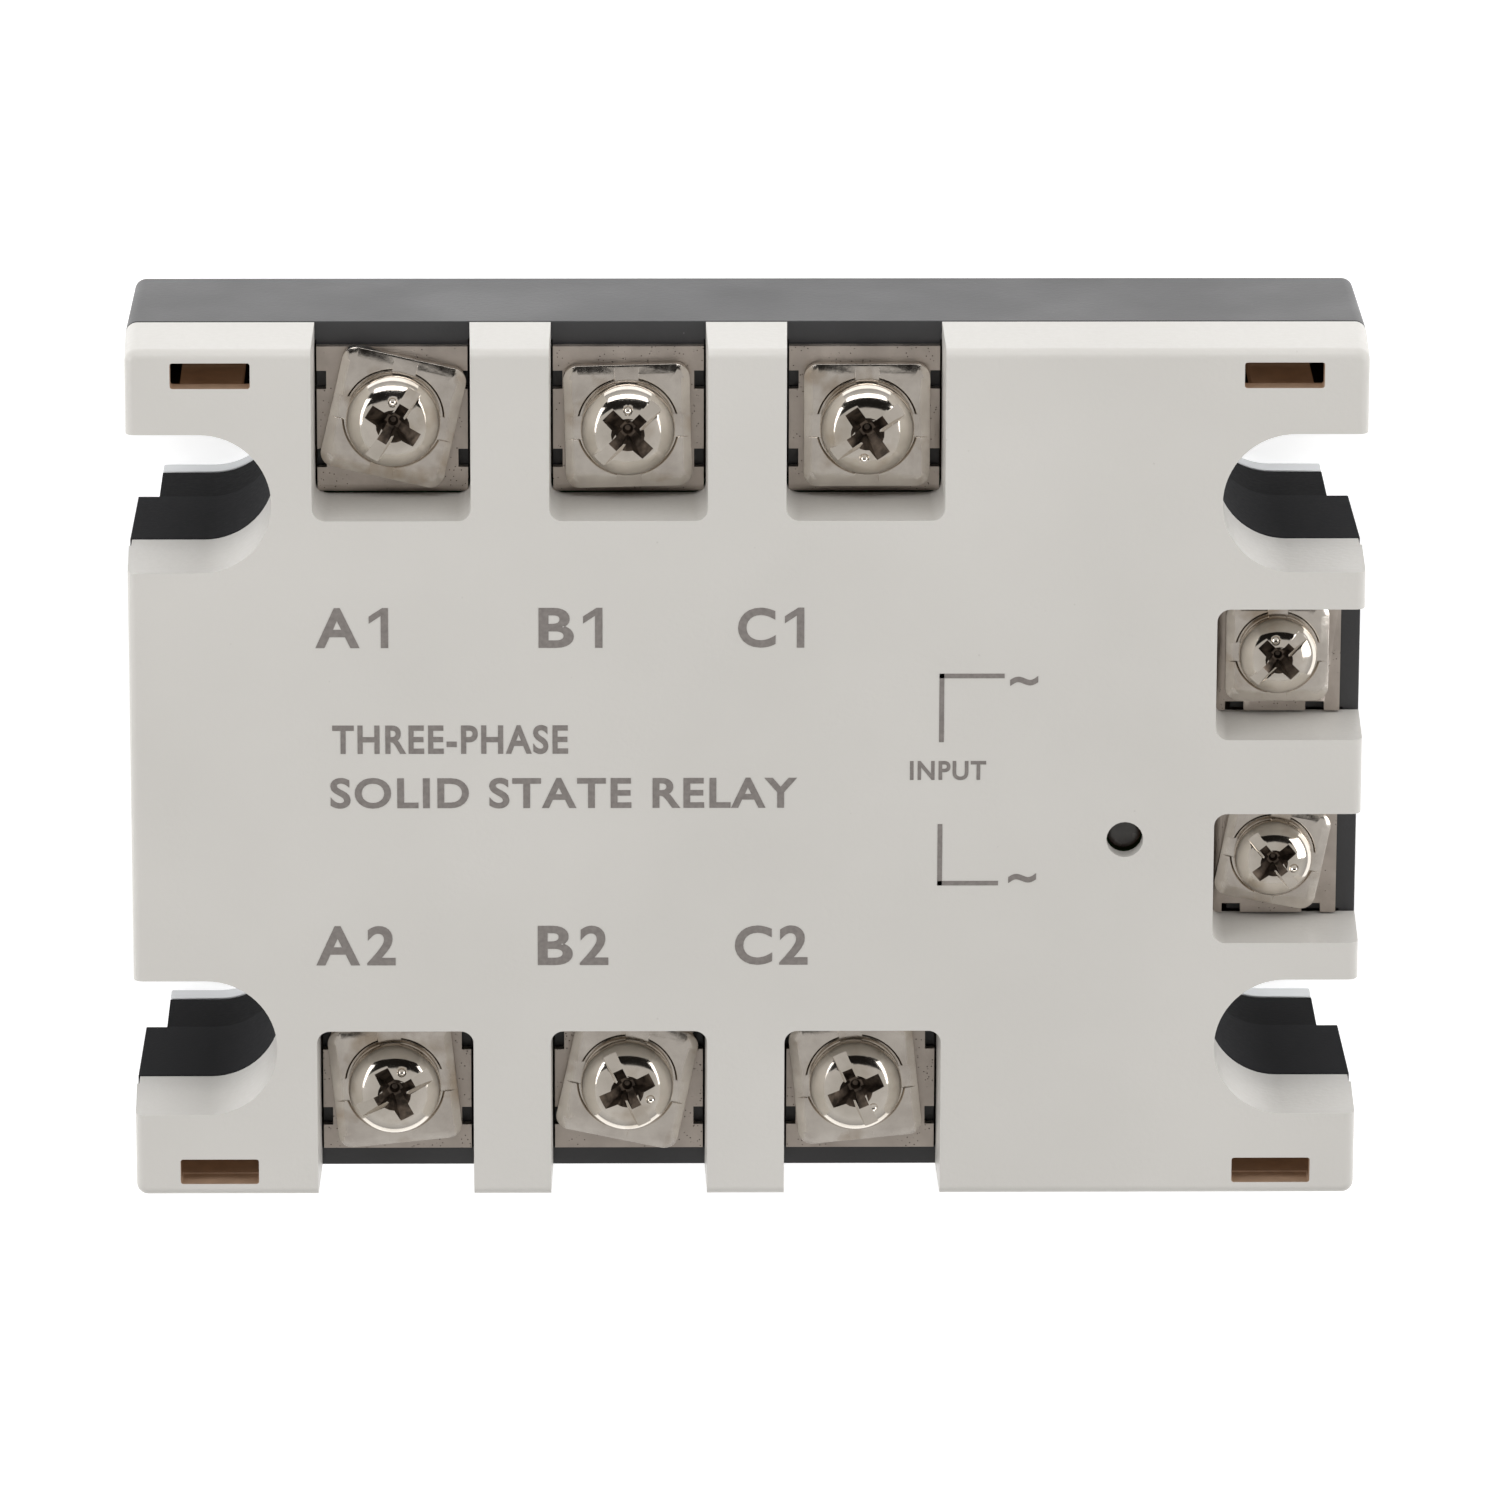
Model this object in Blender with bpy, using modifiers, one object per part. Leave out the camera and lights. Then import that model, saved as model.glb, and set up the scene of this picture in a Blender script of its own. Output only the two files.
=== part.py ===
"""Three-phase solid state relay: flat panel module, screw terminals along two edges, a heat-spreading base.

It lies on its aluminium base. +Z is out of the printed cover face, +X is along the longest side towards the
input terminals, +Y is towards the line terminals A1, B1 and C1. The origin is the middle of the base's face.
"""
import math

import bmesh
import bpy
from mathutils import Matrix, Vector

MM = 0.001
GAP = 0.3 * MM            # clearance between pieces that touch
EMBED = 1.0 * MM          # how far a joined lump reaches into the wall that carries it
OVERCUT = 4.0 * MM        # how far a cutter runs past the face it leaves

# Overall
LENGTH = 104.0 * MM       # X, cover skirt
WIDTH = 75.0 * MM         # Y, cover skirt
HEIGHT = 33.0 * MM        # Z, base face to cover face
DRAFT = 0.2 * MM          # how much a moulded side leans in over its height
CORNER = 1.0 * MM         # radius of the four upright edges

# Aluminium base plate
PLATE_THICK = 2.3 * MM
PLATE_INSET_X = 2.0 * MM
PLATE_INSET_Y = 3.2 * MM

# Mounting slots, one at each end of each long side
SLOT_RIB = 5.7 * MM       # from the long side to the outside of the slot's wall
SLOT_WIDTH = 12.0 * MM
SLOT_REACH = 12.3 * MM    # from the end face to the round end
SLOT_SEGMENTS = 14

# Cover
COVER_DEPTH = 8.2 * MM    # skirt, below the cover face
COVER_WALL = 1.2 * MM
COVER_TOP = 1.6 * MM
COVER_FILLET = 0.8 * MM
LINER_DROP = 1.8 * MM     # how far the slot liners hang below the skirt
NOTCH_DRAFT = 0.3 * MM

# Body
BODY_WALL = 1.6 * MM      # along the long sides
BODY_END_WALL = 1.4 * MM
SLOT_WALL = 1.8 * MM
BODY_STEP = 10.0 * MM     # height of the ledge between the narrow foot and the wide upper half
BODY_SHELF = 1.8 * MM     # thickness of that ledge
TOWER_HEIGHT = 10.5 * MM  # of the terminal towers, below the body's rim

# Terminals. Each floats a little in its strap, so each is set at its own place and turn.
PHASE_PITCH = 19.8 * MM
PHASE_SHIFT = -9.9 * MM   # X of the middle phase
POWER_EDGE = 8.2 * MM     # screw centre, from the long side
POWER_SIDE_ROOM = 1.1 * MM      # from the washer to the pocket wall
POWER_END_ROOM = 1.25 * MM
INPUT_EDGE = 7.2 * MM     # screw centre, from the short side
INPUT_Y = 9.0 * MM
INPUT_SIDE_ROOM = 1.15 * MM
INPUT_END_ROOM = 0.8 * MM
NOTCH_CORNER = 0.8 * MM

STRAP_THICK = 0.8 * MM
STRAP_LEG_WIDTH = 7.0 * MM
STRAP_NICK_SPACING = 6.8 * MM
STRAP_NICK_LENGTH = 1.6 * MM
STRAP_NICK_DEPTH = 0.6 * MM
STRAP_FOOT = 5.0 * MM
SCREW_FLOAT = 0.6 * MM    # how far a screw can sit off its strap's centre
WASHER_THICK = 0.8 * MM
WASHER_CORNER = 1.2 * MM
NUT_PLAY = 0.15 * MM
NUT_CORNER = 0.4 * MM
TIP_ROOM = 0.9 * MM       # below a tightened screw's tip
HEAD_PROFILE = ((0.0, 1.0), (0.55, 0.97), (0.86, 0.8), (1.0, 0.42), (1.0, 0.0))   # of head radius and height
GROOVE_DEPTH = 0.5        # of the head height
CROSS_DEPTH = 0.65        # of the head height
CROSS_SPAN = 1.15         # of the head radius, from arm tip to arm tip
HOLE_SEGMENTS = 20
ROUND_SEGMENTS = 24

POWER_SCREW = {"thread": 4.0 * MM, "head": 7.9 * MM, "head_height": 2.4 * MM, "length": 10.0 * MM,
               "slot": 1.2 * MM, "nut": 7.0 * MM, "nut_height": 3.2 * MM, "washer": 10.6 * MM}
INPUT_SCREW = {"thread": 3.5 * MM, "head": 6.6 * MM, "head_height": 2.2 * MM, "length": 8.0 * MM,
               "slot": 1.0 * MM, "nut": 6.0 * MM, "nut_height": 2.8 * MM, "washer": 8.7 * MM}

# name: (offset from the nominal centre in mm, turn of the screw's slot, turn of the washer), degrees
SETTINGS = {
    "A1": ((0.10, 0.40), 58.0, -12.0),
    "B1": ((-0.05, -0.35), 45.0, 1.0),
    "C1": ((0.20, -0.30), 35.0, 0.0),
    "A2": ((-0.20, -0.20), 28.0, 6.0),
    "B2": ((-0.15, 0.05), -64.0, -12.0),
    "C2": ((-0.45, 0.05), -66.0, 6.0),
    "in1": ((0.10, 0.10), 45.0, 0.0),
    "in2": ((0.00, 0.10), -51.0, -11.0),
}

# Snap hooks under the four windows of the cover
WINDOW_EDGE = 7.3 * MM    # window centre, from the short side
WINDOW_MARGIN = 0.1 * MM  # from the long wall's inside to the window
WINDOW_SIZE = (6.65 * MM, 2.2 * MM)
HOOK_WIDTH = 5.2 * MM
HOOK_THICK = 1.2 * MM
HOOK_LENGTH = 12.4 * MM
HOOK_BARB = 1.5 * MM
HOOK_BARB_HEIGHT = 2.3 * MM
CATCH_HEIGHT = 2.4 * MM

# Indicator
LED_EDGE = 20.1 * MM      # lamp centre, from the short side
LED_Y = -5.5 * MM
LED_DIAMETER = 3.0 * MM
LED_HOLE = 3.1 * MM
LED_CHAMFER = 0.25 * MM
LED_BODY = 3.6 * MM
LED_FLANGE = 3.9 * MM
LED_LEAD = 0.5 * MM
LED_LEAD_PITCH = 2.5 * MM

# Inner parts
SUBSTRATE_WIDTH = 15.0 * MM
SUBSTRATE_END = 1.75 * MM       # how far a tile reaches past the line of the pocket's end
SUBSTRATE_THICK = 0.63 * MM
CHIP_SIZE = (9.0 * MM, 9.0 * MM, 0.4 * MM)
CHIP_PITCH = 16.0 * MM
RESIN_DEPTH = 11.5 * MM   # of the resin's surface, below the body's rim
BOARD_END_ROOM = 0.4 * MM       # from the board to the slot walls
BOARD_SIDE_ROOM = 2.25 * MM     # from the board to the line of the pockets' ends
BOARD_THICK = 1.6 * MM
OPTO_SIZE = (6.4 * MM, 8.8 * MM, 3.5 * MM)
SNUBBER_CAP_SIZE = (13.0 * MM, 5.0 * MM, 11.0 * MM)
SNUBBER_EDGE = 6.5 * MM   # row of capacitors and row of resistors, from the board's edge
RESISTOR_DIAMETER = 4.2 * MM
RESISTOR_LENGTH = 11.0 * MM
RESISTOR_NECK = 0.5 * MM
RESISTOR_LEAD_LIFT = 0.1 * MM   # a lead's underside above the body's lowest line
DROPPER_SIZE = (17.0 * MM, 8.0 * MM, 14.0 * MM)
DROPPER_EDGE = 11.9 * MM  # from the board's end
BRIDGE_SIZE = (8.5 * MM, 6.5 * MM, 3.2 * MM)
BRIDGE_EDGE = 14.0 * MM
INPUT_RESISTOR_EDGE = 10.5 * MM
INPUT_RESISTOR_SIDE = 4.0 * MM  # from the board's long edge

# Places that follow from the sizes above
SLOT_PITCH = WIDTH - 2 * SLOT_RIB - 2 * SLOT_WALL - SLOT_WIDTH
POWER_Y = WIDTH / 2 - POWER_EDGE
POWER_NOTCH_WIDTH = POWER_SCREW["washer"] + 2 * POWER_SIDE_ROOM
POWER_NOTCH_DEPTH = POWER_EDGE + POWER_SCREW["washer"] / 2 + POWER_END_ROOM
INPUT_X = LENGTH / 2 - INPUT_EDGE
INPUT_NOTCH_WIDTH = INPUT_SCREW["washer"] + 2 * INPUT_SIDE_ROOM
INPUT_NOTCH_DEPTH = INPUT_EDGE + INPUT_SCREW["washer"] / 2 + INPUT_END_ROOM
WINDOW_X = LENGTH / 2 - WINDOW_EDGE
WINDOW_Y = WIDTH / 2 - COVER_WALL - WINDOW_MARGIN - WINDOW_SIZE[1] / 2
LED_PLACE = (LENGTH / 2 - LED_EDGE, LED_Y)
SUBSTRATE_LENGTH = WIDTH - 2 * POWER_NOTCH_DEPTH + 2 * SUBSTRATE_END
SUBSTRATE_SIZE = (SUBSTRATE_WIDTH, SUBSTRATE_LENGTH, SUBSTRATE_THICK)
BOARD_LENGTH = LENGTH - 2 * (SLOT_REACH + SLOT_WALL + BOARD_END_ROOM)
BOARD_WIDTH = WIDTH - 2 * (POWER_NOTCH_DEPTH + BOARD_SIDE_ROOM)
SNUBBER_ROW = BOARD_WIDTH / 2 - SNUBBER_EDGE
DROPPER_PLACE = (BOARD_LENGTH / 2 - DROPPER_EDGE, SNUBBER_ROW)
INPUT_RESISTOR_PLACE = (BOARD_LENGTH / 2 - INPUT_RESISTOR_EDGE, INPUT_RESISTOR_SIDE - BOARD_WIDTH / 2)
BRIDGE_PLACE = (BOARD_LENGTH / 2 - BRIDGE_EDGE, 0.0)

# Levels that follow from the sizes above
COVER_FACE = HEIGHT
COVER_RIM = HEIGHT - COVER_DEPTH
BODY_TOP = COVER_RIM - GAP
BODY_FLOOR = PLATE_THICK + GAP
TOWER_FLOOR = BODY_TOP - TOWER_HEIGHT
RESIN_TOP = BODY_TOP - RESIN_DEPTH
LINER_RIM = COVER_RIM - LINER_DROP
STRAP_FLOOR = BODY_TOP + GAP
STRAP_TOP = STRAP_FLOOR + STRAP_THICK
WASHER_FLOOR = STRAP_TOP + GAP
HEAD_FLOOR = WASHER_FLOOR + WASHER_THICK + GAP
SUBSTRATE_FLOOR = PLATE_THICK + GAP
SUBSTRATE_TOP = SUBSTRATE_FLOOR + SUBSTRATE_SIZE[2]
CHIP_TOP = SUBSTRATE_TOP + GAP + CHIP_SIZE[2]
BOARD_FLOOR = RESIN_TOP + GAP
BOARD_TOP = BOARD_FLOOR + BOARD_THICK
PARTS_FLOOR = BOARD_TOP + GAP

NAME = "solid_state_relay"


# ---------------------------------------------------------------- shared tools

def clear_scene():
    for item in list(bpy.data.objects):
        bpy.data.objects.remove(item, do_unlink=True)


def new_collection(name):
    group = bpy.data.collections.new(name)
    bpy.context.scene.collection.children.link(group)
    return group


def material(name, colour, roughness, metallic=0.0):
    made = bpy.data.materials.new(name)
    made.use_nodes = True
    shader = made.node_tree.nodes["Principled BSDF"]
    shader.inputs["Base Color"].default_value = (*colour, 1.0)
    shader.inputs["Roughness"].default_value = roughness
    shader.inputs["Metallic"].default_value = metallic
    return made


def part(name, mesh, finish, place=(0.0, 0.0, 0.0), turn=0.0):
    """A visible sub-part: its own object, its own node."""
    mesh.materials.clear()
    mesh.materials.append(finish)
    made = bpy.data.objects.new(name, mesh)
    made.location = place
    made.rotation_euler = (0.0, 0.0, turn)
    PARTS.objects.link(made)
    return made


def cutter(name, mesh):
    """A guide solid for Boolean modifiers, never seen."""
    made = bpy.data.objects.new(name, mesh)
    made.hide_render = True
    made.display_type = "WIRE"
    CUTTERS.objects.link(made)
    return made


def boolean(target, tool, operation):
    step = target.modifiers.new(operation.lower() + "_" + tool.name, "BOOLEAN")
    step.operation = operation
    step.solver = "EXACT"
    step.object = tool


def mesh_from(bm, name):
    mesh = bpy.data.meshes.new(name)
    bmesh.ops.recalc_face_normals(bm, faces=bm.faces)
    bm.to_mesh(mesh)
    bm.free()
    return mesh


def baked(source):
    """The evaluated mesh of an object that is then removed."""
    bpy.context.view_layer.update()
    evaluated = source.evaluated_get(bpy.context.evaluated_depsgraph_get())
    mesh = bpy.data.meshes.new_from_object(evaluated)
    mesh.transform(source.matrix_world)
    bpy.data.objects.remove(source, do_unlink=True)
    return mesh


def round_edges(bm, edges, radius):
    bmesh.ops.bevel(bm, geom=edges, offset=radius, segments=3, profile=0.5, affect="EDGES", material=-1)


def block(name, low, high, corner=0.0, top_fillet=0.0, lean=(0.0, 0.0)):
    """A box between two corners. Upright edges may be rounded, and the top may grow or shrink by lean."""
    low = Vector(low)
    high = Vector(high)
    centre = (low + high) / 2
    size = high - low
    bm = bmesh.new()
    bmesh.ops.create_cube(bm, size=1.0)
    bmesh.ops.scale(bm, vec=size, verts=bm.verts)
    bmesh.ops.translate(bm, vec=centre, verts=bm.verts)
    if corner > 0:
        rise = size.z / 2
        upright = [edge for edge in bm.edges if abs(edge.verts[0].co.z - edge.verts[1].co.z) > rise]
        round_edges(bm, upright, corner)
    top = [vert for vert in bm.verts if vert.co.z > centre.z]
    for vert in top:
        vert.co.x += lean[0] * math.copysign(1.0, vert.co.x - centre.x)
        vert.co.y += lean[1] * math.copysign(1.0, vert.co.y - centre.y)
    if top_fillet > 0:
        rim = [edge for edge in bm.edges if min(edge.verts[0].co.z, edge.verts[1].co.z) > centre.z]
        round_edges(bm, rim, top_fillet)
    return mesh_from(bm, name)


def centred_block(name, place, size, floor, corner=0.0):
    x, y = place
    low = (x - size[0] / 2, y - size[1] / 2, floor)
    high = (x + size[0] / 2, y + size[1] / 2, floor + size[2])
    return block(name, low, high, corner)


def rod(name, place, diameter, floor, top, segments=ROUND_SEGMENTS, top_diameter=None):
    bm = bmesh.new()
    upper = diameter if top_diameter is None else top_diameter
    middle = Matrix.Translation((place[0], place[1], (floor + top) / 2))
    bmesh.ops.create_cone(bm, cap_ends=True, segments=segments, radius1=diameter / 2, radius2=upper / 2,
                          depth=top - floor, matrix=middle)
    return mesh_from(bm, name)


def prism(name, outline, floor, top):
    """A flat outline given a thickness: a filled 2D curve, made a mesh so that it can be cut or cut with."""
    data = bpy.data.curves.new(name, "CURVE")
    data.dimensions = "2D"
    data.fill_mode = "BOTH"
    data.extrude = (top - floor) / 2
    line = data.splines.new("POLY")
    line.points.add(len(outline) - 1)
    for point, (x, y) in zip(line.points, outline):
        point.co = (x, y, 0.0, 1.0)
    line.use_cyclic_u = True
    guide = bpy.data.objects.new(name, data)
    guide.location.z = (floor + top) / 2
    CUTTERS.objects.link(guide)
    bm = bmesh.new()
    bm.from_mesh(baked(guide))
    bmesh.ops.remove_doubles(bm, verts=bm.verts, dist=0.00001)
    bmesh.ops.dissolve_limit(bm, angle_limit=math.radians(1.0), verts=bm.verts, edges=bm.edges)
    return mesh_from(bm, name)


def slot_outline(side_x, side_y, width, reach, end):
    """A slot open at one end of the long side, with a half-round inner end."""
    radius = width / 2
    centre_x = LENGTH / 2 - reach + radius
    points = [(end, -radius)]
    for step in range(SLOT_SEGMENTS + 1):
        angle = -math.pi / 2 - math.pi * step / SLOT_SEGMENTS
        points.append((centre_x + radius * math.cos(angle), radius * math.sin(angle)))
    points.append((end, radius))
    return [(side_x * x, side_y * SLOT_PITCH / 2 + y) for x, y in points]


def corners():
    for side_x in (-1, 1):
        for side_y in (-1, 1):
            yield side_x, side_y, f"{'right' if side_x > 0 else 'left'}_{'upper' if side_y > 0 else 'lower'}"


def terminals():
    """Every terminal: its name, the outward direction, its nominal centre and its screw family."""
    for index, phase in enumerate("ABC"):
        x = PHASE_SHIFT + (index - 1) * PHASE_PITCH
        yield phase + "1", (0, 1), (x, POWER_Y), POWER_SCREW
        yield phase + "2", (0, -1), (x, -POWER_Y), POWER_SCREW
    yield "in1", (1, 0), (INPUT_X, INPUT_Y), INPUT_SCREW
    yield "in2", (1, 0), (INPUT_X, -INPUT_Y), INPUT_SCREW


def screw_place(name, centre):
    offset, _, _ = SETTINGS[name]
    return centre[0] + offset[0] * MM, centre[1] + offset[1] * MM


def terminal_frame(outward, centre):
    """Local +Y runs out of the relay at the terminal; the local origin is on the relay's edge plane."""
    edge = WIDTH / 2 if outward[0] == 0 else LENGTH / 2
    angle = math.atan2(outward[1], outward[0]) - math.pi / 2
    if outward[0] == 0:
        origin = (centre[0], outward[1] * edge, 0.0)
    else:
        origin = (edge, centre[1], 0.0)
    return Matrix.Translation(origin) @ Matrix.Rotation(angle, 4, "Z")


def terminal_sizes(family):
    if family is POWER_SCREW:
        return POWER_NOTCH_WIDTH, POWER_NOTCH_DEPTH, BODY_WALL, WIDTH / 2 - POWER_Y
    return INPUT_NOTCH_WIDTH, INPUT_NOTCH_DEPTH, BODY_END_WALL, LENGTH / 2 - INPUT_X


def notch_block(name, outward, centre, family, floor, grow=0.0, lean=0.0):
    """The terminal pocket of the cover, open at the edge and through the face."""
    width, depth, _, _ = terminal_sizes(family)
    low = (-width / 2 - grow, -depth - grow, floor)
    high = (width / 2 + grow, OVERCUT, COVER_FACE + OVERCUT)
    side_lean = lean * (1 + OVERCUT / COVER_DEPTH)
    mesh = block(name, low, high, corner=NOTCH_CORNER, lean=(side_lean, lean))
    mesh.transform(terminal_frame(outward, centre))
    return mesh


# ---------------------------------------------------------------- casing

def base_plate(finish):
    half_x = LENGTH / 2 - PLATE_INSET_X
    half_y = WIDTH / 2 - PLATE_INSET_Y
    blank = block("base_plate", (-half_x, -half_y, 0), (half_x, half_y, PLATE_THICK), CORNER)
    plate = part("base_plate", blank, finish)
    for side_x, side_y, label in corners():
        outline = slot_outline(side_x, side_y, SLOT_WIDTH, SLOT_REACH, LENGTH / 2 + OVERCUT)
        slot = cutter("plate_slot_" + label, prism("plate_slot", outline, -OVERCUT, PLATE_THICK + OVERCUT))
        boolean(plate, slot, "DIFFERENCE")


def corner_block(name, side_x, side_y, grow):
    """Everything outside the inner corner of a slot wall."""
    inner_x = LENGTH / 2 - SLOT_REACH - SLOT_WALL - grow
    inner_y = (SLOT_PITCH - SLOT_WIDTH) / 2 - SLOT_WALL - grow
    reach_x = sorted((side_x * inner_x, side_x * LENGTH))
    reach_y = sorted((side_y * inner_y, side_y * WIDTH))
    return block(name, (reach_x[0], reach_y[0], -2 * OVERCUT), (reach_x[1], reach_y[1], HEIGHT))


def body_cavity():
    """The hollow of the body: wide above the ledge, narrow below it, and clear of the slot walls."""
    wide_x = LENGTH / 2 - BODY_END_WALL
    wide_y = WIDTH / 2 - BODY_WALL
    narrow_x = LENGTH / 2 - PLATE_INSET_X - BODY_END_WALL
    narrow_y = WIDTH / 2 - PLATE_INSET_Y - BODY_WALL
    shelf = BODY_STEP + BODY_SHELF
    wide = block("body_hollow", (-wide_x, -wide_y, shelf), (wide_x, wide_y, BODY_TOP + OVERCUT))
    narrow = block("body_hollow_foot", (-narrow_x, -narrow_y, -OVERCUT), (narrow_x, narrow_y, shelf + EMBED))
    hollow = cutter("body_hollow", wide)
    foot = cutter("body_hollow_foot", narrow)
    for side_x, side_y, label in corners():
        grown = SLOT_WIDTH + 2 * SLOT_WALL
        outline = slot_outline(side_x, side_y, grown, SLOT_REACH + SLOT_WALL, LENGTH / 2 + OVERCUT)
        wall = cutter("body_slot_wall_" + label, prism("body_slot_wall", outline, -2 * OVERCUT, HEIGHT))
        boolean(hollow, wall, "DIFFERENCE")
        solid = cutter("body_solid_corner_" + label, corner_block("body_solid_corner", side_x, side_y, 0.0))
        boolean(foot, solid, "DIFFERENCE")
    return hollow, foot


def body_housing(finish):
    half_x = LENGTH / 2
    half_y = WIDTH / 2
    low = (-half_x + DRAFT, -half_y + DRAFT, BODY_STEP)
    high = (half_x - DRAFT, half_y - DRAFT, BODY_TOP)
    body = part("body_housing", block("body_housing", low, high, CORNER, lean=(DRAFT, DRAFT)), finish)
    foot_x = half_x - PLATE_INSET_X
    foot_y = half_y - PLATE_INSET_Y
    foot = block("body_foot", (-foot_x, -foot_y, BODY_FLOOR), (foot_x, foot_y, BODY_STEP + EMBED), CORNER)
    boolean(body, cutter("body_foot", foot), "UNION")
    for hollow in body_cavity():
        boolean(body, hollow, "DIFFERENCE")
    for side_x, side_y, label in corners():
        outline = slot_outline(side_x, side_y, SLOT_WIDTH, SLOT_REACH, LENGTH / 2 + OVERCUT)
        slot = cutter("body_slot_" + label, prism("body_slot", outline, -OVERCUT, HEIGHT))
        boolean(body, slot, "DIFFERENCE")
        grow = COVER_WALL + GAP
        end = LENGTH / 2 + OVERCUT
        outline = slot_outline(side_x, side_y, SLOT_WIDTH + 2 * grow, SLOT_REACH + grow, end)
        seat = cutter("liner_seat_" + label, prism("liner_seat", outline, LINER_RIM - GAP, HEIGHT))
        boolean(body, seat, "DIFFERENCE")
        boolean(body, cutter("catch_" + label, body_catch(side_x, side_y)), "UNION")
    for name, outward, centre, family in terminals():
        boolean(body, cutter("tower_" + name, tower(outward, centre, family)), "UNION")
    for name, outward, centre, family in terminals():
        boolean(body, cutter("nut_pocket_" + name, nut_pocket(name, centre, family)), "DIFFERENCE")
        boolean(body, cutter("screw_well_" + name, screw_well(name, centre, family)), "DIFFERENCE")


def body_catch(side_x, side_y):
    """The ledge that a cover hook snaps under, on the inside of the long wall."""
    inner = hook_face() + GAP
    outer = WIDTH / 2 - BODY_WALL + EMBED
    near, far = sorted((side_y * inner, side_y * outer))
    floor = catch_floor()
    centre = side_x * WINDOW_X
    half = HOOK_WIDTH / 2 + GAP
    return block("body_catch", (centre - half, near, floor), (centre + half, far, floor + CATCH_HEIGHT))


def hook_face():
    """Y of the hook's outer face, which is the window's inner edge."""
    return WINDOW_Y - WINDOW_SIZE[1] / 2 - GAP


def catch_floor():
    return COVER_FACE - COVER_TOP - HOOK_LENGTH + HOOK_BARB_HEIGHT + GAP


def tower(outward, centre, family):
    """The block inside the wall that carries the strap and its captive nut."""
    width, depth, wall, _ = terminal_sizes(family)
    leg_face = depth - 2 * GAP - STRAP_THICK
    mesh = block("tower", (-width / 2, -leg_face, TOWER_FLOOR), (width / 2, -wall + EMBED, BODY_TOP))
    mesh.transform(terminal_frame(outward, centre))
    return mesh


def nut_pocket(name, centre, family):
    """A square well: as wide as the nut and its float, so the nut can't turn."""
    side = family["nut"] + 2 * (SCREW_FLOAT + NUT_PLAY)
    floor = BODY_TOP - family["nut_height"] - 2 * GAP
    return centred_block("nut_pocket_" + name, centre, (side, side, BODY_TOP + OVERCUT - floor), floor)


def screw_well(name, centre, family):
    """Room below the nut for the screw's tip."""
    floor = HEAD_FLOOR - family["length"] - TIP_ROOM
    diameter = family["thread"] + 2 * (SCREW_FLOAT + GAP)
    return rod("screw_well_" + name, centre, diameter, floor, BODY_TOP, HOLE_SEGMENTS)


def liner_outline(side_x, side_y, end):
    """The outside of the cover's wall round a mounting slot."""
    return slot_outline(side_x, side_y, SLOT_WIDTH + 2 * COVER_WALL, SLOT_REACH + COVER_WALL, end)


def cover_cavity():
    """The hollow of the cover, less the walls of its notches and slots."""
    half_x = LENGTH / 2 - DRAFT - COVER_WALL
    half_y = WIDTH / 2 - DRAFT - COVER_WALL
    top = COVER_FACE - COVER_TOP
    space = block("cover_hollow", (-half_x, -half_y, LINER_RIM - OVERCUT), (half_x, half_y, top))
    hollow = cutter("cover_hollow", space)
    floor = LINER_RIM - 2 * OVERCUT
    for name, outward, centre, family in terminals():
        wall = notch_block("notch_wall_" + name, outward, centre, family, floor, COVER_WALL, NOTCH_DRAFT)
        boolean(hollow, cutter("notch_wall_" + name, wall), "DIFFERENCE")
    for side_x, side_y, label in corners():
        outline = liner_outline(side_x, side_y, LENGTH / 2 + OVERCUT)
        wall = cutter("cover_slot_wall_" + label, prism("cover_slot_wall", outline, floor, HEIGHT))
        boolean(hollow, wall, "DIFFERENCE")
    return hollow


def snap_hook(side_x, side_y):
    """A flexible leg with a barb, hanging from the cover beside its window."""
    face = hook_face()
    root = COVER_FACE - COVER_TOP + EMBED
    tip = COVER_FACE - COVER_TOP - HOOK_LENGTH
    catch = tip + HOOK_BARB_HEIGHT
    outline = [(face - HOOK_THICK, root), (face - HOOK_THICK, tip), (face - HOOK_THICK / 3, tip),
               (face + HOOK_BARB, catch), (face, catch), (face, root)]
    mesh = prism("snap_hook", outline, -HOOK_WIDTH / 2, HOOK_WIDTH / 2)
    # outline x becomes Y, outline y becomes Z, thickness becomes X
    mesh.transform(Matrix(((0, 0, 1, 0), (side_y, 0, 0, 0), (0, 1, 0, 0), (0, 0, 0, 1))))
    mesh.transform(Matrix.Translation((side_x * WINDOW_X, 0, 0)))
    if side_y < 0:
        mesh.flip_normals()
    return mesh


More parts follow.
